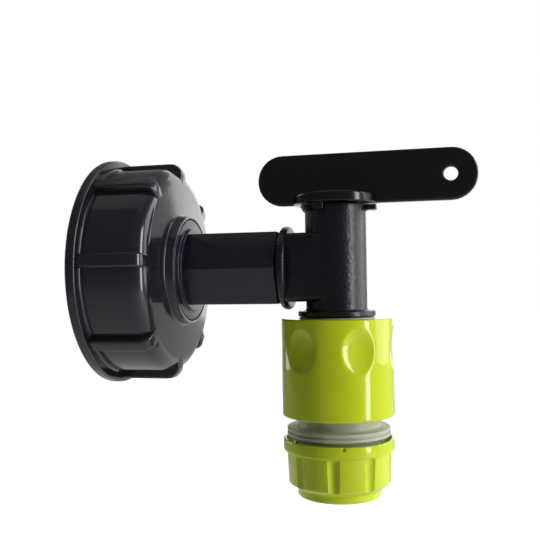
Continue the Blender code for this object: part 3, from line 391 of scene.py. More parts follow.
def rounded(corners: Sequence[Corner], step: float = FILLET_FACET) -> list[Vector]:
    """Rounds the corners of a closed outline.

    Args:
        corners: (across, up) points, where a third number is that corner's fillet radius.
        step: the turn that one facet of a fillet takes.

    Returns:
        The outline's points, in the same order.
    """
    outline = []
    for index, corner in enumerate(corners):
        here = Vector(corner[:2])
        radius = corner[2] if len(corner) > 2 else 0.0
        before = Vector(corners[index - 1][:2]) - here
        after = Vector(corners[(index + 1) % len(corners)][:2]) - here
        if radius <= 0.0:
            outline.append(here)
            continue
        half = before.angle(after) / 2.0
        cut_back = min(radius / math.tan(half), MOST_CUT * before.length, MOST_CUT * after.length)
        middle = (before.normalized() + after.normalized()).normalized()
        centre = here + middle * cut_back / math.cos(half)
        spoke = here + before.normalized() * cut_back - centre
        turn = math.pi - 2.0 * half
        if before.x * after.y - before.y * after.x > 0.0:
            turn = -turn
        steps = max(1, round(abs(turn) / step))
        outline += [centre + Matrix.Rotation(turn * facet / steps, 2) @ spoke for facet in range(steps + 1)]
    return outline


def drawn(name: str, outline: Sequence[Vector], close: bool) -> Piece:
    """Draws an outline in the xz plane and leaves the piece in edit mode with all of it selected.

    A plane is merged to one vertex, which is extruded from point to point.

    Args:
        name: the piece's name.
        outline: the outline's points, (across, up).
        close: whether a face closes it.

    Returns:
        The piece.
    """
    bpy.ops.object.select_all(action="DESELECT")
    bpy.ops.mesh.primitive_plane_add(size=OVERRUN)
    piece = bpy.context.object
    piece.name = name
    piece.data.name = name
    bpy.ops.object.mode_set(mode="EDIT")
    bpy.ops.mesh.select_all(action="SELECT")
    bpy.ops.mesh.merge(type="CENTER")
    bpy.ops.transform.translate(value=(outline[0].x, 0.0, outline[0].y))
    for before, after in pairwise(outline):
        step = after - before
        bpy.ops.mesh.extrude_vertices_move(TRANSFORM_OT_translate={"value": (step.x, 0.0, step.y)})
    bpy.ops.mesh.select_all(action="SELECT")
    if close:
        bpy.ops.mesh.edge_face_add()
    return piece


def tidied(piece: Piece, place: Matrix) -> Piece:
    """Merges doubles, turns the faces out, leaves edit mode and puts the piece in its place.

    Args:
        piece: the piece, in edit mode.
        place: where it goes.

    Returns:
        The same piece.
    """
    bpy.ops.mesh.select_all(action="SELECT")
    bpy.ops.mesh.remove_doubles(threshold=SAME_PLACE)
    bpy.ops.mesh.normals_make_consistent(inside=False)
    bpy.ops.object.mode_set(mode="OBJECT")
    piece.matrix_world = place
    alone(piece)
    bpy.ops.object.transform_apply(location=True, rotation=True, scale=True)
    return piece


def spun(name: str, axis: Axis, corners: Sequence[Corner], steps: int = FINE_STEPS) -> Piece:
    """Turns a closed outline about an axis.

    Args:
        name: the piece's name.
        axis: the line that it turns about.
        corners: (radius, height, fillet) corners of the closed outline.
        steps: the facets of a full turn.

    Returns:
        The turned piece.
    """
    outline = rounded(corners)
    # An outline with an edge on the axis starts after that edge and stays open there
    on_axis = [end for end, point in enumerate(outline) if max(outline[end - 1].x, point.x) < SAME_PLACE]
    if on_axis:
        outline = outline[on_axis[0]:] + outline[:on_axis[0]]
    piece = drawn(name, outline, close=not on_axis)
    if not on_axis:
        bpy.ops.mesh.delete(type="ONLY_FACE")
        bpy.ops.mesh.select_all(action="SELECT")
    bpy.ops.mesh.spin(steps=steps, angle=FULL_TURN, center=ORIGIN, axis=UP)
    return tidied(piece, axis.place())


def spun_at(name: str, place: Matrix, corners: Sequence[Corner]) -> Piece:
    """A small turned detail.

    Args:
        name: the piece's name.
        place: where it goes, standing on its local z axis.
        corners: (radius, height, fillet) corners of the closed outline.

    Returns:
        The turned piece.
    """
    piece = spun(name, Axis.TAP, corners, DETAIL_STEPS)
    piece.data.transform(place @ Axis.TAP.place().inverted())
    return piece


def facing_front(point: Sequence[float]) -> Matrix:
    """The place at a point whose local z axis points along -Y."""
    return Matrix.Translation(point) @ Matrix.Rotation(QUARTER_TURN, 4, "X")


def plate(name: str, place: Matrix, corners: Sequence[Corner], thickness: float, edge: float = 0.0) -> Piece:
    """A plate of an outline drawn in the xz plane, half its thickness on each side.

    Args:
        name: the piece's name.
        place: where it goes.
        corners: (across, up, fillet) corners of the closed outline.
        thickness: how thick it is.
        edge: how far its edges are rounded.

    Returns:
        The plate.
    """
    piece = drawn(name, rounded(corners), close=True)
    bpy.ops.transform.translate(value=(0.0, -thickness / 2.0, 0.0))
    bpy.ops.mesh.extrude_region_move(TRANSFORM_OT_translate={"value": (0.0, thickness, 0.0)})
    tidied(piece, place)
    return bevelled(piece, edge) if edge else piece


def ring_part(
    name: str, axis: Axis, corners: Sequence[Corner], start: float, sweep: float, edge: float = 0.0
) -> Piece:
    """Part of a ring: an outline spun from one angle through another.

    Args:
        name: the piece's name.
        axis: the line that it is spun about.
        corners: (radius, height, fillet) corners of the closed outline.
        start: the angle that it starts at.
        sweep: the angle that it runs through, counter-clockwise.
        edge: how far its edges are rounded.

    Returns:
        The piece.
    """
    piece = drawn(name, rounded(corners), close=True)
    steps = max(2, round(sweep / ARC_FACET))
    bpy.ops.mesh.spin(steps=steps, angle=sweep, center=ORIGIN, axis=UP)
    spin_side(piece)
    tidied(piece, axis.turned(start))
    return bevelled(piece, edge) if edge else piece


def spin_side(piece: Piece) -> None:
    """Mirrors a piece that was spun clockwise, so that it runs counter-clockwise from its start.

    Args:
        piece: the spun piece, in edit mode.
    """
    shape = bmesh.from_edit_mesh(piece.data)
    middle = sum((vertex.co for vertex in shape.verts), Vector()) / len(shape.verts)
    if middle.y < 0.0:
        for vertex in shape.verts:
            vertex.co.y = -vertex.co.y
    bmesh.update_edit_mesh(piece.data)


def peg(name: str, place: Matrix, radius: float, low: float, high: float, steps: int = PEG_STEPS) -> Piece:
    """A round bar between two heights, for cutting or joining.

    Args:
        name: the piece's name.
        place: where it goes, standing on its local z axis.
        radius: its radius.
        low: the height of its foot.
        high: the height of its top.
        steps: how many sides it has.

    Returns:
        The bar.
    """
    bpy.ops.object.select_all(action="DESELECT")
    bpy.ops.mesh.primitive_cylinder_add(
        vertices=steps, radius=radius, depth=high - low, location=(0.0, 0.0, (low + high) / 2.0)
    )
    piece = bpy.context.object
    piece.name = name
    bpy.ops.object.transform_apply(location=True)
    piece.matrix_world = place
    bpy.ops.object.transform_apply(location=True, rotation=True, scale=True)
    return piece


def block(name: str, place: Matrix, low: Sequence[float], high: Sequence[float], edge: float = 0.0) -> Piece:
    """A box between two corners, for cutting or joining.

    Args:
        name: the piece's name.
        place: where it goes.
        low: its lowest corner.
        high: its highest corner.
        edge: how far its edges are rounded.

    Returns:
        The box.
    """
    bpy.ops.object.select_all(action="DESELECT")
    bpy.ops.mesh.primitive_cube_add(size=1.0, location=(Vector(low) + Vector(high)) / 2.0)
    piece = bpy.context.object
    piece.name = name
    piece.scale = Vector(high) - Vector(low)
    bpy.ops.object.transform_apply(location=True, scale=True)
    piece.matrix_world = place
    bpy.ops.object.transform_apply(location=True, rotation=True, scale=True)
    return bevelled(piece, edge) if edge else piece


def bevelled(piece: Piece, width: float, segments: int = 4, limit: float = math.radians(35.0)) -> Piece:
    """Rounds the piece's sharp edges.

    Args:
        piece: the piece.
        width: how far they are rounded.
        segments: the facets of a rounding.
        limit: edges that turn by less than this angle are left.

    Returns:
        The same piece.
    """
    alone(piece)
    bevel = piece.modifiers.new("edges", "BEVEL")
    bevel.width = width
    bevel.segments = segments
    bevel.limit_method = "ANGLE"
    bevel.angle_limit = limit
    bevel.use_clamp_overlap = True
    bpy.ops.object.modifier_apply(modifier=bevel.name)
    return piece


def joined(pieces: Sequence[Piece]) -> Piece:
    """Puts pieces that don't touch into one object.

    Args:
        pieces: the pieces.

    Returns:
        The first of them, which then holds all.
    """
    alone(pieces[0])
    for piece in pieces[1:]:
        piece.select_set(True)
    bpy.ops.object.join()
    return pieces[0]


def combined(piece: Piece, how: Combine, others: Sequence[Piece]) -> Piece:
    """Joins other pieces to one, or cuts them from it, and removes them.

    Args:
        piece: the piece that stays.
        how: whether they are joined or cut.
        others: the pieces that are used up.

    Returns:
        The piece that stays.
    """
    for other in others:
        alone(piece)
        modifier = piece.modifiers.new(how.name, "BOOLEAN")
        modifier.operation = how.value
        modifier.solver = "EXACT"
        modifier.object = other
        bpy.ops.object.modifier_apply(modifier=modifier.name)
        bpy.data.objects.remove(other)
    return piece


def trimmed(piece: Piece) -> Piece:
    """Takes out the slivers that cutting leaves, and closes the gaps.

    Args:
        piece: the piece.

    Returns:
        The same piece.
    """
    alone(piece)
    bpy.ops.object.mode_set(mode="EDIT")
    bpy.ops.mesh.select_all(action="SELECT")
    bpy.ops.mesh.remove_doubles(threshold=SAME_PLACE)
    bpy.ops.mesh.dissolve_degenerate(threshold=SAME_PLACE)
    bpy.ops.mesh.fill_holes(sides=0)
    bpy.ops.object.mode_set(mode="OBJECT")
    return piece


def around(pattern: Piece, axis: Axis, count: int, name: str) -> list[Piece]:
    """Copies a piece round an axis, each copy with its own mesh.

    Args:
        pattern: the piece, which its copies replace.
        axis: the axis.
        count: how many copies there are.
        name: the copies' name, which a number follows.

    Returns:
        The copies.
    """
    home = axis.place().inverted()
    made = []
    for index in range(count):
        copy = pattern.copy()
        copy.data = pattern.data.copy()
        copy.name = f"{name}_{index + 1}"
        bpy.context.scene.collection.objects.link(copy)
        copy.data.transform(axis.turned(FULL_TURN * index / count) @ home)
        made.append(copy)
    bpy.data.objects.remove(pattern)
    return made


def coil(
    name: str, axis: Axis, tooth: Sequence[Corner], pitch: float, turns: float, start: float, root: float
) -> Piece:
    """A right-hand thread ridge whose two ends run out into the wall.

    Args:
        name: the piece's name.
        axis: the line that the thread runs round.
        tooth: the ridge's section, (radius, height) corners at the thread's low end.
        pitch: its rise in a turn.
        turns: how many turns it has.
        start: the angle of its low end.
        root: the radius that the ends run out to.

    Returns:
        The ridge as a closed piece.
    """
    piece = drawn(name, [Vector(corner[:2]) for corner in tooth], close=True)
    bpy.ops.mesh.delete(type="ONLY_FACE")
    bpy.ops.object.mode_set(mode="OBJECT")
    alone(piece)
    screw = piece.modifiers.new("thread", "SCREW")
    screw.axis = "Z"
    screw.angle = FULL_TURN * turns
    screw.screw_offset = pitch * turns
    screw.steps = round(THREAD_STEPS * turns)
    screw.render_steps = screw.steps
    screw.use_merge_vertices = False
    screw.use_smooth_shade = False
    bpy.ops.object.modifier_apply(modifier=screw.name)
    for vertex in piece.data.vertices:
        radius = math.hypot(vertex.co.x, vertex.co.y)
        along = vertex.index // len(tooth) / (THREAD_STEPS * turns)
        fade = min(1.0, along * turns / RUN_OUT, (1.0 - along) * turns / RUN_OUT)
        wanted = root + (radius - root) * max(fade, TIP_SHARE)
        vertex.co.x *= wanted / radius
        vertex.co.y *= wanted / radius
    bpy.ops.object.mode_set(mode="EDIT")
    bpy.ops.mesh.select_all(action="SELECT")
    bpy.ops.mesh.fill_holes(sides=0)
    return tidied(piece, axis.turned(start))


def dressed(
    piece: Piece, finish: Finish, body: str, nodes: Sequence[str] = (), smooth: float = 30.0
) -> Piece:
    """Gives a finished piece its shading, finish, material slot and body.

    Args:
        piece: the finished piece, in its place.
        finish: the look of its surface.
        body: the body that it rides on.
        nodes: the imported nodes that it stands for.
        smooth: edges that turn by more than this many degrees stay sharp.

    Returns:
        The same piece.
    """
    alone(piece)
    bpy.ops.object.shade_smooth_by_angle(angle=math.radians(smooth))
    piece.data.materials.clear()
    piece.data.materials.append(finish.material())
    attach(piece, body)
    if nodes:
        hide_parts(*nodes)
    LOG.info("%s: %d faces, rides on %s", piece.name, len(piece.data.polygons), body)
    return piece


@dataclass
class CouplingCap:
    """The swivel cap on the tank's neck: ribbed skirt, coned front, boss and coarse inner thread."""

    root_r: float = 0.0303
    body_r: float = 0.0330
    rib_r: float = 0.0352
    rib_width: float = 0.0042
    rib_count: int = 8
    rib_phase: float = math.radians(-4.0)
    rib_front: float = 0.0001
    rib_round: float = 0.0042
    flange_t: float = 0.0032
    wall: float = 0.0027
    front_wall: float = 0.0032
    slope: float = 0.04
    shoulder: float = 0.0052
    rim_front: float = 0.0063
    rim_r: float = 0.0270
    boss_bore_r: float = 0.01659
    boss_wall: float = 0.0012
    draft: float = 0.0003
    mouth_round: float = 0.0005
    flange_round: float = 0.0009
    step_round: float = 0.0006
    root_round: float = 0.0008
    pitch: float = 0.0060
    thread_start: float = 0.4
    thread_turns: float = 1.45
    thread_depth: float = 0.0028
    thread_foot: float = 0.3
    thread_crest: float = 0.12
    edge: float = 0.0007
    steps: int = 192

    def inside(self, radius: float) -> float:
        """Where the coned inner face stands at this radius."""
        return self.rim_front + GAP + (self.rim_r - radius) * self.slope

    def outside(self, radius: float) -> float:
        """Where the coned outer face stands at this radius."""
        return self.inside(radius) + self.front_wall

    def build(self) -> None:
        """Makes the cap and dresses it."""
        low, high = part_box("coupling_nut")
        back, top, flange_r = low.x, high.x, high.y
        boss_r = self.boss_bore_r + self.boss_wall
        cap = spun("cap", Axis.PIPE, [
            (self.root_r, back, self.mouth_round),
            (flange_r, back, self.flange_round),
            (flange_r, back + self.flange_t, self.step_round),
            (self.body_r, back + self.flange_t, self.root_round),
            (self.body_r, self.outside(self.body_r), self.shoulder),
            (boss_r, self.outside(boss_r), self.step_round),
            (boss_r - self.draft, top, SOFT),
            (self.boss_bore_r, top, CRISP),
            (self.boss_bore_r, self.inside(self.boss_bore_r)),
            (self.root_r, self.inside(self.root_r), self.root_round),
        ], self.steps)
        combined(cap, Combine.JOIN, [joined(self.ribs(back)), self.thread(back)])
        dressed(cap, CAP_BLACK, "cap", ["coupling_nut"])

    def ribs(self, back: float) -> list[Piece]:
        """The grip ribs, whose front ends round over the shoulder.

        Args:
            back: where the cap starts along the pipe.

        Returns:
            The ribs.
        """
        inner = self.root_r + self.wall / 2.0
        front = self.outside(inner)
        merge_r = self.body_r - self.shoulder - (self.rib_r - self.body_r)
        outline = [
            (inner, back + self.flange_t / 2.0),
            (self.rib_r, back + self.flange_t / 2.0),
            (self.rib_r, front + self.rib_front, self.rib_round),
            (merge_r, front + self.rib_front),
            (merge_r, front - self.front_wall / 2.0),
            (inner, front - self.front_wall),
        ]
        place = Axis.PIPE.turned(self.rib_phase - QUARTER_TURN)
        rib = plate("rib", place, outline, self.rib_width, self.edge)
        return around(rib, Axis.PIPE, self.rib_count, "rib")

    def thread(self, back: float) -> Piece:
        """The coarse thread inside the skirt, a ridge that starts a little way in.

        Args:
            back: where the cap starts along the pipe.

        Returns:
            The ridge.
        """
        low = back + self.thread_start * self.pitch
        crest = self.root_r - self.thread_depth
        inner = self.root_r + self.wall / 3.0
        half_foot = self.thread_foot * self.pitch
        half_crest = self.thread_crest * self.pitch
        return coil("cap_thread", Axis.PIPE, [
            (inner, low - half_foot),
            (crest, low - half_crest),
            (crest, low + half_crest),
            (inner, low + half_foot),
        ], self.pitch, self.thread_turns, 0.0, inner)


@dataclass
class InletTail:
    """The seal washer and the tail with its hexagonal barrel."""

    seal_width: float = 0.0085
    shoulder_r: float = 0.01629
    bore_r: float = 0.0060
    flats: float = 0.0225
    root_r: float = 0.01349
    root_length: float = 0.0010
    root_round: float = 0.0006
    socket_r: float = 0.0085
    socket_depth: float = 0.0125
    recess_r: float = 0.0099
    recess_depth: float = 0.0014
    hex_edge: float = 0.00045

    def build(self, cap: CouplingCap) -> None:
        """Makes both pieces and dresses them.

        Args:
            cap: the cap that turns on the tail.
        """
        low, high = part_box("seal_washer")
        inner = high.y - self.seal_width
        washer = spun("washer", Axis.PIPE, [
            (inner, low.x, CRISP),
            (high.y, low.x, CRISP),
            (high.y, high.x, CRISP),
            (inner, high.x, CRISP),
        ])
        dressed(washer, RUBBER, "valve", ["seal_washer"])
        low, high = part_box("inlet_tail")
        back, end, flange_r = low.x, high.x, high.y
        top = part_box("coupling_nut")[1].x
        tail = spun("tail", Axis.PIPE, [
            (0.0, back),
            (flange_r, back, CRISP),
            (flange_r, cap.rim_front, SOFT),
            (self.shoulder_r, cap.inside(self.shoulder_r) - GAP),
            (self.shoulder_r, top, SOFT),
            (self.root_r, top, self.root_round),
            (self.root_r, top + self.root_length, SOFT),
            (0.0, top + self.root_length),
        ])
        barrel = peg("hex", Axis.PIPE.place(), self.flats / math.sqrt(3.0), cap.rim_front, end, 6)
        bevelled(barrel, self.hex_edge, 3)
        tip = end - self.socket_depth
        bore = spun("tail_bore", Axis.PIPE, [
            (0.0, back - OVERRUN),
            (self.bore_r, back - OVERRUN),
            (self.bore_r, tip),
            (self.socket_r, tip),
            (self.socket_r, end - self.recess_depth),
            (self.recess_r, end - self.recess_depth),
            (self.recess_r, end + OVERRUN),
            (0.0, end + OVERRUN),
        ], BORE_STEPS)
        combined(tail, Combine.JOIN, [barrel])
        combined(tail, Combine.CUT, [bore])
        dressed(trimmed(tail), PIPE_BLACK, "valve", ["inlet_tail"])


@dataclass
class Tap:
    """The tap's body: spigot, bead, square neck, barrel, stop collar and outlet nipple."""

    waterway_r: float = 0.0044
    barrel_r: float = 0.0095
    barrel_drop: float = 0.0136
    bore_r: float = 0.0069
    floor: float = -0.0125
    spigot_r: float = 0.0082
    bead_r: float = 0.01309
    bead_width: float = 0.0028
    neck_height: float = 0.0211
    neck_inset: float = 0.0002
    neck_edge: float = 0.0018
    collar_height: float = 0.0018
    collar_foot: float = 0.0005
    collar_rise: float = 0.0015
    collar_start: float = math.radians(-9.0)
    collar_sweep: float = math.radians(250.0)
    ear_rise: float = 0.0034
    ear_height: float = 0.0016
    ear_sweep: float = math.radians(21.0)
    flange_r: float = 0.0120
    flange_t: float = 0.0016
    nipple_r: float = 0.0086
    groove_r: float = 0.0072
    groove_top: float = -0.0209
    groove_bottom: float = -0.0249
    taper_top: float = -0.0269
    taper_bottom: float = -0.0294
    tip_r: float = 0.0077
    seal_r: float = 0.0059
    seal_top: float = -0.0312
    seal_bottom: float = -0.0333
    snap_top: float = 0.0153
    snap_bottom: float = 0.0137
    snap_depth: float = 0.0010
    pocket_r: float = 0.0057
    pocket_back: float = -0.0115
    barrel_round: float = 0.0009
    tip_round: float = 0.0008
    spigot_round: float = 0.0005
    bead_back_round: float = 0.0020
    bead_front_round: float = 0.0009
    gate_r: float = 0.0006
    gate_root: float = 0.0004
    gate_edge: float = 0.00012
    gate_top: float = 0.0002
    gate_from_bead: float = 0.0035
    gate_height: float = 0.0004

    def build(self) -> None:
        """Makes the body in one piece and dresses it."""
        low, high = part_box("tap_body")
        top, tip = high.z, low.z
        hex_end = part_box("inlet_tail")[1].x
        spigot_tip = low.x
        bead_back = hex_end + GAP
        bead_front = bead_back + self.bead_width
        flange_bottom = -self.barrel_drop - self.flange_t
        body = spun("tap", Axis.TAP, [
            (0.0, top),
            (self.barrel_r, top, EASED),
            (self.barrel_r, -self.barrel_drop, self.barrel_round),
            (self.flange_r, -self.barrel_drop, EASED),
            (self.flange_r, flange_bottom, CRISP),
            (self.nipple_r, flange_bottom, EASED),
            (self.nipple_r, self.groove_top, CRISP),
            (self.groove_r, self.groove_top, CRISP),
            (self.groove_r, self.groove_bottom, CRISP),
            (self.nipple_r, self.groove_bottom, CRISP),
            (self.nipple_r, self.taper_top, SOFT),
            (self.tip_r, self.taper_bottom, SOFT),
            (self.tip_r, self.seal_top),
            (self.seal_r, self.seal_top),
            (self.seal_r, self.seal_bottom),
            (self.tip_r, self.seal_bottom),
            (self.tip_r, tip, self.tip_round),
            (0.0, tip),
        ])
        inlet = spun("spigot", Axis.PIPE, [
            (0.0, spigot_tip),
            (self.spigot_r, spigot_tip, self.spigot_round),
            (self.spigot_r, bead_back),
            (self.bead_r, bead_back, self.bead_back_round),
            (self.bead_r, bead_front, self.bead_front_round),
            (0.0, bead_front),
        ])
        half_width = self.barrel_r - self.neck_inset
        half_height = self.neck_height / 2.0
        neck_low = ((bead_back + bead_front) / 2.0 - TAP_X, -half_width, -half_height)
        neck_high = (0.0, half_width, half_height)
        neck = block("neck", Axis.TAP.place(), neck_low, neck_high, self.neck_edge)
        combined(body, Combine.JOIN, [inlet, neck, *self.stops(top), self.gate_mark(bead_front, half_width)])
        combined(body, Combine.CUT, self.bores(top, tip, spigot_tip))
        dressed(trimmed(body), TAP_BLACK, "valve", ["tap_body"])

    def stops(self, top: float) -> list[Piece]:
        """The flared stop collar and the ear at its end.

        Args:
            top: the height of the barrel's top.

        Returns:
            Both pieces.
        """
        root = (self.barrel_r + self.bore_r) / 2.0
        collar = ring_part("collar", Axis.TAP, [
            (root, top - self.collar_height),
            (self.barrel_r + self.collar_foot, top - self.collar_height),
            (self.barrel_r + self.collar_rise, top),
            (root, top),
        ], self.collar_start, self.collar_sweep, CRISP)
        ear = ring_part("ear", Axis.TAP, [
            (root, top - self.ear_height),
            (self.barrel_r + self.ear_rise, top - self.ear_height),
            (self.barrel_r + self.ear_rise, top),
            (root, top),
        ], self.collar_start, self.ear_sweep, EASED)
        return [collar, ear]

    def gate_mark(self, bead_front: float, half_width: float) -> Piece:
        """The pip that the mould's gate leaves on the side of the neck.

        Args:
            bead_front: where the bead ends along the pipe.
            half_width: half the neck's width.

        Returns:
            The pip.
        """
        mark = facing_front((bead_front + self.gate_from_bead, -half_width, self.gate_height))
        return spun_at("gate_mark", mark, [
            (0.0, -self.gate_root),
            (self.gate_r, -self.gate_root),
            (self.gate_r, self.gate_edge, CRISP),
            (0.0, self.gate_top),
        ])

    def bores(self, top: float, tip: float, spigot_tip: float) -> list[Piece]:
        """The plug's bore with its snap groove, and the channel in from the pipe with the seat's pocket.

        Args:
            top: the height of the barrel's top.
            tip: the height of the nipple's tip.
            spigot_tip: where the spigot starts along the pipe.

        Returns:
            The pieces to cut with.
        """
        bore = spun("valve_bore", Axis.TAP, [
            (0.0, top + OVERRUN),
            (self.bore_r, top + OVERRUN),
            (self.bore_r, self.snap_top),
            (self.bore_r + self.snap_depth, self.snap_top),
            (self.bore_r + self.snap_depth, self.snap_bottom),
            (self.bore_r, self.snap_bottom),
            (self.bore_r, self.floor),
            (self.waterway_r, self.floor),
            (self.waterway_r, tip - OVERRUN),
            (0.0, tip - OVERRUN),
        ], BORE_STEPS)
        channel = spun("channel", Axis.PIPE, [
            (0.0, spigot_tip - OVERRUN),
            (self.waterway_r, spigot_tip - OVERRUN),
            (self.waterway_r, TAP_X + self.pocket_back),
            (self.pocket_r, TAP_X + self.pocket_back),
            (self.pocket_r, TAP_X),
            (0.0, TAP_X),
        ], BORE_STEPS)
        return [bore, channel]


@dataclass
class Key:
    """The handle: domed disc with its hub, stop lug and flat blade."""

    disc_r: float = 0.0131
    disc_bottom: float = 0.0194
    disc_top: float = 0.0224
    dome: float = 0.0008
    crown_share: float = 0.45
    crown_rise: float = 0.8
    crown_round: float = 0.004
    disc_round: float = 0.0008
    hub_r: float = 0.0066
    blade_t: float = 0.0030
    blade_r: float = 0.0080
    blade_edge: float = 0.0007
    blade_corner: float = math.radians(50.0)
    hole_r: float = 0.0021
    lug_r: float = 0.0098
    lug_t: float = 0.0019
    lug_drop: float = 0.0021
    lug_start: float = math.radians(-117.0)
    lug_sweep: float = math.radians(16.0)
    square: float = 0.0058
    square_top: float = 0.0226

    def build(self) -> None:
        """Makes the handle in one piece and dresses it."""
        low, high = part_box("handle")
        base = spun("key", Axis.TAP, [
            (0.0, self.disc_top + self.dome),
            (self.crown_share * self.disc_r, self.disc_top + self.crown_rise * self.dome, self.crown_round),
            (self.disc_r, self.disc_top, self.disc_round),
            (self.disc_r, self.disc_bottom, SOFT),
            (self.hub_r, self.disc_bottom, CRISP),
            (self.hub_r, low.z, SOFT),
            (0.0, low.z),
        ])
        back, front = low.x - TAP_X, high.x - TAP_X
        bottom, top = high.z - 2.0 * self.blade_r, high.z
        blade = plate("blade", Axis.TAP.place(), [
            (back, bottom, self.blade_r),
            (front, bottom, self.blade_r),
            (front, top, self.blade_r),
            (back, top, self.blade_r),
        ], self.blade_t)
        middle = (bottom + top) / 2.0
        hole_place = facing_front((TAP_X + front - self.blade_r, 0.0, middle))
        combined(blade, Combine.CUT, [peg("hang_hole", hole_place, self.hole_r, -self.blade_t, self.blade_t)])
        bevelled(blade, self.blade_edge, limit=self.blade_corner)
        lug = ring_part("lug", Axis.TAP, [
            (self.lug_r, self.disc_bottom - self.lug_drop),
            (self.lug_r + self.lug_t, self.disc_bottom - self.lug_drop),
            (self.lug_r + self.lug_t, self.disc_bottom + self.lug_drop / 2.0),
            (self.lug_r, self.disc_bottom + self.lug_drop / 2.0),
        ], self.lug_start, self.lug_sweep, EASED)
        half = self.square / 2.0
        socket_low = (-half, -half, low.z - OVERRUN)
        socket = block("socket", Axis.TAP.place(), socket_low, (half, half, self.square_top))
        combined(base, Combine.JOIN, [blade, lug])
        combined(base, Combine.CUT, [socket])
        dressed(trimmed(base), KEY_BLACK, "key", ["handle"])


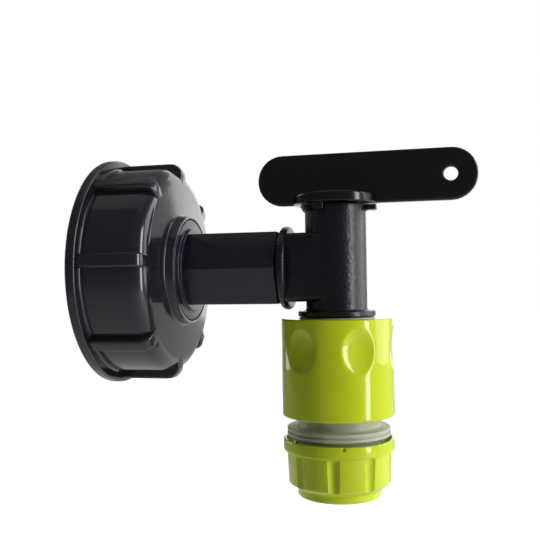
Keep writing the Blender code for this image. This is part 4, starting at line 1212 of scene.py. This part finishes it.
@dataclass
class Connector:
    """The grey half of the hose connector, its release sleeve and the sleeve's spring."""

    tube_r: float = 0.0117
    seat_bottom: float = -0.0450
    seat_top: float = -0.0430
    seat_r: float = 0.01517
    neck_r: float = 0.0122
    neck_draft: float = 0.0002
    neck_round: float = 0.0008
    nut_gap: float = 0.0008
    flange_t: float = 0.0026
    lip_t: float = 0.0010
    groove_t: float = 0.0005
    groove_depth: float = 0.0006
    thread_r: float = 0.0132
    thread_core_r: float = 0.0125
    thread_end: float = -0.0584
    thread_pitch: float = 0.0025
    thread_lead: float = 0.45
    thread_foot: float = 0.36
    thread_crest: float = 0.10
    socket_r: float = 0.0101
    socket_top: float = -0.0534
    barb_r: float = 0.0060
    barb_ridge: float = 0.0006
    barb_pitch: float = 0.0036
    barb_count: int = 3
    waterway_r: float = 0.0044
    nipple_room: float = 0.0089
    tip_room: float = 0.0080
    tip: float = -0.0360
    taper_bottom: float = -0.0294
    taper_top: float = -0.0269
    jaw_in_r: float = 0.0075
    jaw_width: float = 0.0050
    window_top: float = -0.0209
    window_bottom: float = -0.0249
    jaw_count: int = 4
    sleeve_bore_r: float = 0.0120
    sleeve_chamber_r: float = 0.01547
    sleeve_shoulder: float = -0.0296
    wedge_slope: float = 0.4375
    wedge_foot_r: float = 0.0123
    jaw_bottom: float = -0.0246
    wedge_top: float = -0.0177
    sleeve_round: float = 0.0010
    sleeve_steps: int = 240
    wall_steps: int = 84
    wall_margin: float = 0.035
    dimple_count: int = 6
    dimple_phase: float = math.radians(-121.0)
    dimple_drop: float = 0.0092
    dimple_half_width: float = 0.0050
    dimple_half_height: float = 0.0065
    dimple_depth: float = 0.0013
    dimple_skin: float = 0.00025
    bowl_power: float = 0.8
    lip_rise: float = 0.05
    lip_width: float = 0.12
    wire_r: float = 0.00055
    wire_turns: float = 5.5
    close_pitch: float = 0.00125
    wire_facets: int = 4
    wire_steps: int = 48

    def build(self) -> None:
        """Makes the three pieces and dresses them."""
        self.body()
        self.sleeve()
        self.spring()

    def body(self) -> None:
        """The socket tube with its jaw windows, the grooved flange, the hose thread and the barb."""
        low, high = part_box("connector_body")
        top, end, flange_r = high.z, low.z, high.y
        flange_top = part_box("hose_nut")[1].z + self.nut_gap + self.flange_t
        flange_bottom = flange_top - self.flange_t
        lip = flange_top - self.lip_t
        groove_r = flange_r - self.groove_depth
        outline = [
            (self.tube_r, top, EASED),
            (self.tube_r, self.seat_top, EASED),
            (self.seat_r, self.seat_top, CRISP),
            (self.seat_r, self.seat_bottom, CRISP),
            (self.neck_r, self.seat_bottom, EASED),
            (self.neck_r + self.neck_draft, flange_top, self.neck_round),
            (flange_r, flange_top, EASED),
            (flange_r, lip, CRISP),
            (groove_r, lip, KEEN),
            (groove_r, lip - self.groove_t, KEEN),
            (flange_r, lip - self.groove_t, CRISP),
            (flange_r, flange_bottom, SOFT),
            (self.thread_core_r, flange_bottom, EASED),
            (self.thread_core_r, self.thread_end, EASED),
            (self.socket_r, self.thread_end, CRISP),
            (self.socket_r, self.socket_top, SOFT),
            (self.barb_r, self.socket_top, SOFT),
        ]
        ridges_top = end + self.barb_count * self.barb_pitch
        for index in range(self.barb_count):
            ridge = ridges_top - index * self.barb_pitch
            outline += [
                (self.barb_r, ridge, KEEN),
                (self.barb_r + self.barb_ridge, ridge - self.barb_ridge / 2.0, KEEN),
            ]
        outline += [
            (self.barb_r - self.barb_ridge, end, EASED),
            (self.waterway_r, end),
            (self.waterway_r, self.tip),
            (self.tip_room, self.tip),
            (self.tip_room, self.taper_bottom),
            (self.nipple_room, self.taper_top),
            (self.nipple_room, top, CRISP),
        ]
        body = spun("connector", Axis.TAP, outline)
        combined(body, Combine.JOIN, [self.hose_thread(flange_bottom)])
        half = self.jaw_width / 2.0 + GAP
        window_low = (self.jaw_in_r, -half, self.window_bottom)
        window_high = (self.tube_r + OVERRUN, half, self.window_top)
        window = block("window", Axis.TAP.turned(math.pi / self.jaw_count), window_low, window_high)
        windows = joined(around(window, Axis.TAP, self.jaw_count, "window"))
        combined(body, Combine.CUT, [windows])
        dressed(body, GREY, "connector", ["connector_body"])

    def hose_thread(self, flange_bottom: float) -> Piece:
        """The thread that the hose nut turns on.

        Args:
            flange_bottom: the height of the flange's lower face.

        Returns:
            The ridge.
        """
        low = self.thread_end + self.thread_lead * self.thread_pitch
        turns = (flange_bottom - self.thread_end) / self.thread_pitch - 2.0 * self.thread_lead
        half_foot = self.thread_foot * self.thread_pitch
        half_crest = self.thread_crest * self.thread_pitch
        inner = self.thread_core_r - GAP
        return coil("hose_thread", Axis.TAP, [
            (inner, low - half_foot),
            (inner, low + half_foot),
            (self.thread_r, low + half_crest),
            (self.thread_r, low - half_crest),
        ], self.thread_pitch, turns, 0.0, inner)

    def wedge(self, height: float) -> float:
        """Radius of the sleeve's inner cone at this height."""
        return self.wedge_foot_r + (height - self.jaw_bottom) * self.wedge_slope + GAP

    def sleeve(self) -> None:
        """The glossy sleeve, with finger dimples pressed into a finely divided wall."""
        low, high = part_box("release_sleeve")
        top, bottom, outer = high.z, low.z, high.y
        spread = 1.0 - 2.0 * self.wall_margin
        shares = [self.wall_margin + spread * step / self.wall_steps for step in range(self.wall_steps + 1)]
        sleeve = spun("sleeve", Axis.TAP, [
            (self.sleeve_bore_r, top, SOFT),
            (outer, top, self.sleeve_round),
            *((outer, top + (bottom - top) * share) for share in shares),
            (outer, bottom, self.sleeve_round),
            (self.sleeve_chamber_r, bottom, EASED),
            (self.sleeve_chamber_r, self.sleeve_shoulder),
            (self.sleeve_bore_r, self.sleeve_shoulder),
            (self.sleeve_bore_r, self.window_bottom),
            (self.wedge(self.window_bottom), self.window_bottom),
            (self.wedge(self.wedge_top), self.wedge_top),
            (self.sleeve_bore_r, self.wedge_top),
        ], self.sleeve_steps)
        self.dimples(sleeve, top - self.dimple_drop, outer)
        dressed(sleeve, LIME, "sleeve", ["release_sleeve"])

    def dimples(self, sleeve: Piece, middle: float, outer: float) -> None:
        """Presses the finger dimples into the sleeve's outer wall.

        Args:
            sleeve: the sleeve, in its place.
            middle: the height of the dimples' middles.
            outer: the wall's radius.
        """
        pitch = FULL_TURN / self.dimple_count
        for vertex in sleeve.data.vertices:
            angle = math.atan2(vertex.co.y, vertex.co.x - TAP_X) - self.dimple_phase
            radius = math.hypot(vertex.co.y, vertex.co.x - TAP_X)
            if radius < outer - self.dimple_skin:
                continue
            across = outer * ((angle + pitch / 2.0) % pitch - pitch / 2.0) / self.dimple_half_width
            up = (vertex.co.z - middle) / self.dimple_half_height
            pressed = self.dimple_depth * self.pressed(math.hypot(across, up))
            vertex.co.x -= (vertex.co.x - TAP_X) * pressed / radius
            vertex.co.y -= vertex.co.y * pressed / radius

    def pressed(self, share: float) -> float:
        """How deep a dimple is: a shallow bowl with a soft rim.

        Args:
            share: the distance from its middle, as a share of its half width.

        Returns:
            The depth, as a share of the full depth.
        """
        if share >= 1.0 + self.lip_width:
            return 0.0
        bowl = max(0.0, 1.0 - share**2) ** self.bowl_power
        lip = self.lip_rise * max(0.0, 1.0 - abs(share - 1.0) / self.lip_width)
        return bowl + lip

    def spring(self) -> None:
        """The sleeve's spring, with a closed turn at each end."""
        low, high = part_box("sleeve_spring")
        bottom, top = low.z + self.wire_r, high.z - self.wire_r
        middle_r = (self.sleeve_bore_r + self.sleeve_chamber_r) / 2.0
        open_pitch = (top - bottom - 2.0 * self.close_pitch) / (self.wire_turns - 2.0)
        curve = bpy.data.curves.new("spring", "CURVE")
        curve.dimensions = "3D"
        curve.bevel_depth = self.wire_r
        curve.bevel_resolution = self.wire_facets
        curve.use_fill_caps = True
        spline = curve.splines.new("POLY")
        count = round(self.wire_turns * self.wire_steps) + 1
        spline.points.add(count - 1)
        for index, point in enumerate(spline.points):
            turn = self.wire_turns * index / (count - 1)
            closed = min(turn, 1.0) + max(turn - self.wire_turns + 1.0, 0.0)
            opened = min(max(turn - 1.0, 0.0), self.wire_turns - 2.0)
            height = bottom + closed * self.close_pitch + opened * open_pitch
            angle = FULL_TURN * turn
            point.co = (middle_r * math.cos(angle), middle_r * math.sin(angle), height, 1.0)
        piece = bpy.data.objects.new("spring", curve)
        bpy.context.scene.collection.objects.link(piece)
        alone(piece)
        bpy.ops.object.convert(target="MESH")
        piece = bpy.context.object
        bpy.ops.object.mode_set(mode="EDIT")
        tidied(piece, Axis.TAP.place())
        dressed(piece, STEEL, "connector", ["sleeve_spring"])
        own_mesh(piece)


@dataclass
class HoseNut:
    """The fluted nut and the claw ring inside it."""

    rim_wall: float = 0.0009
    rim_height: float = 0.0036
    recess: float = 0.0018
    body_r: float = 0.0161
    foot_r: float = 0.0157
    body_height: float = 0.0098
    chamfer: float = 0.0019
    rim_top_round: float = 0.0005
    rim_foot_round: float = 0.0009
    foot_round: float = 0.0007
    ring_r: float = 0.0129
    thread_r: float = 0.0135
    mouth_r: float = 0.0100
    mouth_t: float = 0.0013
    nose_r: float = 0.0114
    cone_top: float = -0.06185
    cone_bottom: float = -0.06545
    flute_count: int = 9
    flute_phase: float = math.radians(-88.0)
    notch_angle: float = math.radians(-77.7)
    notch_depth: float = 0.0006
    notch_half_width: float = 0.0007
    notch_height: float = 0.0012
    flute_width: float = 0.0038
    flute_depth: float = 0.0009
    claw_count: int = 8
    claw_slot: float = 0.0016
    claw_tooth: float = 0.0004
    edge: float = 0.0006
    nut_steps: int = 216
    claw_steps: int = 96

    def build(self) -> None:
        """Makes the nut and the claws and dresses them."""
        self.nut()
        self.claws()

    def nut(self) -> None:
        """The fluted nut, with a wide rim and a gate notch in it."""
        low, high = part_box("hose_nut")
        top, bottom, rim_r = high.z, low.z, high.y
        rim_bottom = top - self.rim_height
        body_bottom = rim_bottom - self.body_height
        ring_top = body_bottom - self.chamfer
        floor = top - self.recess
        nut = spun("nut", Axis.TAP, [
            (rim_r - self.rim_wall, top, CRISP),
            (rim_r, top, self.rim_top_round),
            (rim_r, rim_bottom, self.rim_foot_round),
            (self.body_r, rim_bottom, EASED),
            (self.foot_r, body_bottom, self.foot_round),
            (self.ring_r, ring_top, SOFT),
            (self.ring_r, bottom, self.foot_round),
            (self.mouth_r, bottom, EASED),
            (self.mouth_r, bottom + self.mouth_t, CRISP),
            (self.nose_r, bottom + self.mouth_t),
            (self.nose_r, self.cone_bottom),
            (self.thread_r, self.cone_top),
            (self.thread_r, floor, EASED),
            (rim_r - self.rim_wall, floor, CRISP),
        ], self.nut_steps)
        radius = (self.flute_width**2 / 4.0 + self.flute_depth**2) / (2.0 * self.flute_depth)
        out = (self.body_r + self.foot_r) / 2.0 + radius - self.flute_depth
        place = Axis.TAP.turned(self.flute_phase) @ Matrix.Translation((out, 0.0, 0.0))
        flute = peg("flute", place, radius, ring_top - OVERRUN, rim_bottom - GAP, 2 * PEG_STEPS)
        flutes = around(bevelled(flute, self.edge), Axis.TAP, self.flute_count, "flute")
        notch_low = (rim_r - self.notch_depth, -self.notch_half_width, top - self.notch_height)
        notch_high = (rim_r + 2.0 * OVERRUN, self.notch_half_width, top + OVERRUN)
        notch = block("notch", Axis.TAP.turned(self.notch_angle), notch_low, notch_high, CRISP)
        combined(nut, Combine.CUT, [*flutes, notch])
        dressed(nut, LIME, "nut", ["hose_nut"])

    def claws(self) -> None:
        """The claw ring: slotted fingers, coned outside and toothed inside."""
        low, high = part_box("hose_collet")
        top, bottom, outer = high.z, low.z, high.y
        cone_top = self.cone_top - GAP / 2.0
        nose_r = self.nose_r - GAP
        ring = spun("collet", Axis.TAP, [
            (self.mouth_r, top, CRISP),
            (outer, top, CRISP),
            (outer, cone_top, CRISP),
            (nose_r, self.cone_bottom),
            (nose_r, bottom, EASED),
            (self.mouth_r - self.claw_tooth, bottom, KEEN),
            (self.mouth_r, bottom + 2.0 * self.claw_tooth),
        ], self.claw_steps)
        half = self.claw_slot / 2.0
        slot_low = (0.0, -half, bottom - OVERRUN)
        slot_high = (outer + OVERRUN, half, cone_top)
        slot = block("slot", Axis.TAP.turned(math.pi / self.claw_count), slot_low, slot_high)
        slots = around(slot, Axis.TAP, self.claw_count, "slot")
        combined(ring, Combine.CUT, slots)
        dressed(ring, ACETAL, "claws", ["hose_collet"])


@dataclass
class InnerPieces:
    """What the valve holds inside: the ring seals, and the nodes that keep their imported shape."""

    jaw_count: int = 4
    flash: float = 0.03
    ring_steps: int = 96
    section_steps: int = 24
    crease: float = 60.0

    def build(self) -> None:
        """Makes the ring seals and dresses the rest."""
        for node, axis, body in (
            ("inlet_o_ring", Axis.PIPE, "valve"),
            ("plug_o_ring_upper", Axis.TAP, "key"),
            ("plug_o_ring_lower", Axis.TAP, "key"),
            ("connector_o_ring", Axis.TAP, "valve"),
        ):
            self.seal(node, axis, body)
        kept = {
            "valve_plug": ACETAL,
            "seat_seal": RUBBER,
            "retaining_ring": STEEL,
            **{f"locking_jaw_{number + 1}": STEEL for number in range(self.jaw_count)},
        }
        for node, finish in kept.items():
            piece = frame["nodes"][node]
            piece.data.materials.clear()
            piece.data.materials.append(finish.material())
            LOG.info("%s: packed shape, %s", node, finish.name)

    def seal(self, node: str, axis: Axis, body: str) -> None:
        """A ring seal with the fine flash line that its mould leaves round it.

        Args:
            node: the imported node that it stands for.
            axis: the line that it runs round.
            body: the body that it rides on.
        """
        low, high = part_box(node)
        bottom, top = (low.x, high.x) if axis is Axis.PIPE else (low.z, high.z)
        wire = (top - bottom) / 2.0
        major = high.y - wire
        bpy.ops.object.select_all(action="DESELECT")
        bpy.ops.mesh.primitive_torus_add(
            major_segments=self.ring_steps,
            minor_segments=self.section_steps,
            major_radius=major,
            minor_radius=wire,
        )
        ring = bpy.context.object
        ring.name = f"{node}_fine"
        bpy.ops.object.mode_set(mode="EDIT")
        bpy.ops.mesh.select_all(action="DESELECT")
        shape = bmesh.from_edit_mesh(ring.data)
        for vertex in shape.verts:
            if abs(vertex.co.z) < SAME_PLACE and vertex.co.xy.length > major:
                vertex.select = True
        bmesh.update_edit_mesh(ring.data)
        share = 1.0 - self.flash * wire / major
        bpy.ops.transform.resize(value=(share, share, 1.0), center_override=ORIGIN)
        tidied(ring, axis.place() @ Matrix.Translation((0.0, 0.0, (bottom + top) / 2.0)))
        dressed(ring, RUBBER, body, [node], self.crease)


@dataclass(frozen=True)
class SoftBox:
    """A lamp: its place, its size and its power in watts."""

    name: str
    place: Triple
    width: float
    height: float
    power: float

    def hang(self, target: Triple) -> None:
        """Puts the lamp in its place.

        Args:
            target: the point that it faces.
        """
        data = bpy.data.lights.new(self.name, "AREA")
        data.shape = "RECTANGLE"
        data.size = self.width
        data.size_y = self.height
        data.energy = self.power
        lamp = bpy.data.objects.new(self.name, data)
        bpy.context.scene.collection.objects.link(lamp)
        lamp.location = self.place
        aim = Vector(target) - Vector(self.place)
        lamp.rotation_euler = aim.to_track_quat("-Z", "Y").to_euler()


LAMPS = (
    SoftBox("key_lamp", (0.903, -0.315, 0.15), 0.18, 0.85, 4.4),
    SoftBox("side_lamp", (0.87, 0.35, 0.25), 0.8, 0.8, 4.6),
    SoftBox("fill_lamp", (-0.78, 0.35, 0.20), 0.4, 0.7, 2.3),
    SoftBox("top_lamp", (0.05, 0.05, 0.80), 0.8, 0.8, 0.4),
    SoftBox("back_lamp", (0.10, 0.90, 0.25), 0.6, 0.7, 1.5),
)


@dataclass
class Studio:
    """The white floor and surroundings, the lamps and the camera."""

    eye: Triple = (0.0927, -0.2290, -0.0061)
    heading: float = 0.2301
    pitch: float = 0.0237
    roll: float = 0.0141
    lens: float = 49.26
    sensor: float = 36.0
    lamp_target: Triple = (0.045, 0.0, -0.015)
    white: Corner = (1.0, 1.0, 1.0, 1.0)
    floor_z: float = -0.30
    floor_size: float = 16.0
    floor_paint: Corner = (0.85, 0.85, 0.85, 1.0)
    floor_roughness: float = 0.9
    near: float = 0.9
    near_level: float = 0.85
    far: float = 1.6
    ambient: float = 0.05
    bright_side: Triple = (0.66, 0.66, -0.36)
    dim_level: float = 0.10
    bright_level: float = 0.4
    world_span: Span = (0.0, 0.7)
    floor_span: Span = (-0.1, 0.8)

    def build(self) -> None:
        """Sets the stage."""
        bpy.context.scene.view_settings.view_transform = "Standard"
        self.surroundings()
        self.floor()
        self.camera()
        for lamp in LAMPS:
            lamp.hang(self.lamp_target)

    def surroundings(self) -> None:
        """A white world that gives little light: reflections see a bright side and a dim one."""
        world = bpy.data.worlds.new("studio")
        bpy.context.scene.world = world
        world.use_nodes = True
        tree = world.node_tree
        background = tree.nodes["Background"]
        background.inputs["Color"].default_value = self.white
        towards = tree.nodes.new("ShaderNodeTexCoord")
        seen = self.seen(tree, towards.outputs["Generated"], self.world_span)
        level = ramp(tree, seen, (0.0, 1.0), (self.ambient, 1.0))
        tree.links.new(level, background.inputs["Strength"])

    def seen(self, tree: Tree, spot: Socket, span: Span) -> Socket:
        """How much of the white a ray sees: all to the camera and through glass, less in reflections.

        Args:
            tree: the nodes to add to.
            spot: the spot that the ray meets.
            span: how far towards the bright side the dimmest and the brightest spots lie.

        Returns:
            The share that is seen.
        """
        side = component(tree, spot, self.bright_side)
        reflected = ramp(tree, side, span, (self.dim_level, self.bright_level))
        path = tree.nodes.new("ShaderNodeLightPath")
        glossy = computed(tree, "MULTIPLY", path.outputs["Is Glossy Ray"], reflected)
        clear = computed(tree, "MAXIMUM", path.outputs["Is Camera Ray"], path.outputs["Is Transmission Ray"])
        return computed(tree, "MAXIMUM", clear, glossy)

    def floor(self) -> None:
        """A pale floor under the valve that keeps its shadow near by and is plain white farther off."""
        bpy.ops.object.select_all(action="DESELECT")
        bpy.ops.mesh.primitive_plane_add(size=self.floor_size, location=(0.0, 0.0, self.floor_z))
        floor = bpy.context.object
        floor.name = "floor"
        material = bpy.data.materials.new("floor")
        material.use_nodes = True
        tree = material.node_tree
        shader = tree.nodes["Principled BSDF"]
        shader.inputs["Base Color"].default_value = self.floor_paint
        shader.inputs["Roughness"].default_value = self.floor_roughness
        shader.inputs["Emission Color"].default_value = self.white
        place = tree.nodes.new("ShaderNodeTexCoord")
        away = tree.nodes.new("ShaderNodeVectorMath")
        away.operation = "LENGTH"
        tree.links.new(place.outputs["Object"], away.inputs[0])
        level = ramp(tree, away.outputs["Value"], (self.near, self.far), (self.near_level, 1.0))
        seen = self.seen(tree, place.outputs["Object"], self.floor_span)
        tree.links.new(computed(tree, "MULTIPLY", seen, level), shader.inputs["Emission Strength"])
        floor.data.materials.append(material)

    def camera(self) -> None:
        """The photograph's viewpoint: level with the tap's outlet, looking a little to the left and up."""
        data = bpy.data.cameras.new("camera")
        data.lens = self.lens
        data.sensor_width = self.sensor
        camera = bpy.data.objects.new("camera", data)
        bpy.context.scene.collection.objects.link(camera)
        level = math.cos(self.pitch)
        across, ahead = -math.sin(self.heading) * level, math.cos(self.heading) * level
        forward = Vector((across, ahead, math.sin(self.pitch)))
        turn = forward.to_track_quat("-Z", "Y") @ Matrix.Rotation(-self.roll, 3, "Z").to_quaternion()
        camera.location = self.eye
        camera.rotation_euler = turn.to_euler()
        bpy.context.scene.camera = camera


def main() -> None:
    """Builds every sub-assembly and the studio."""
    logging.basicConfig(level=logging.INFO, format="%(name)s %(message)s")
    cap = CouplingCap()
    cap.build()
    InletTail().build(cap)
    Tap().build()
    Key().build()
    Connector().build()
    HoseNut().build()
    InnerPieces().build()
    Studio().build()


if __name__ == "__main__":
    main()
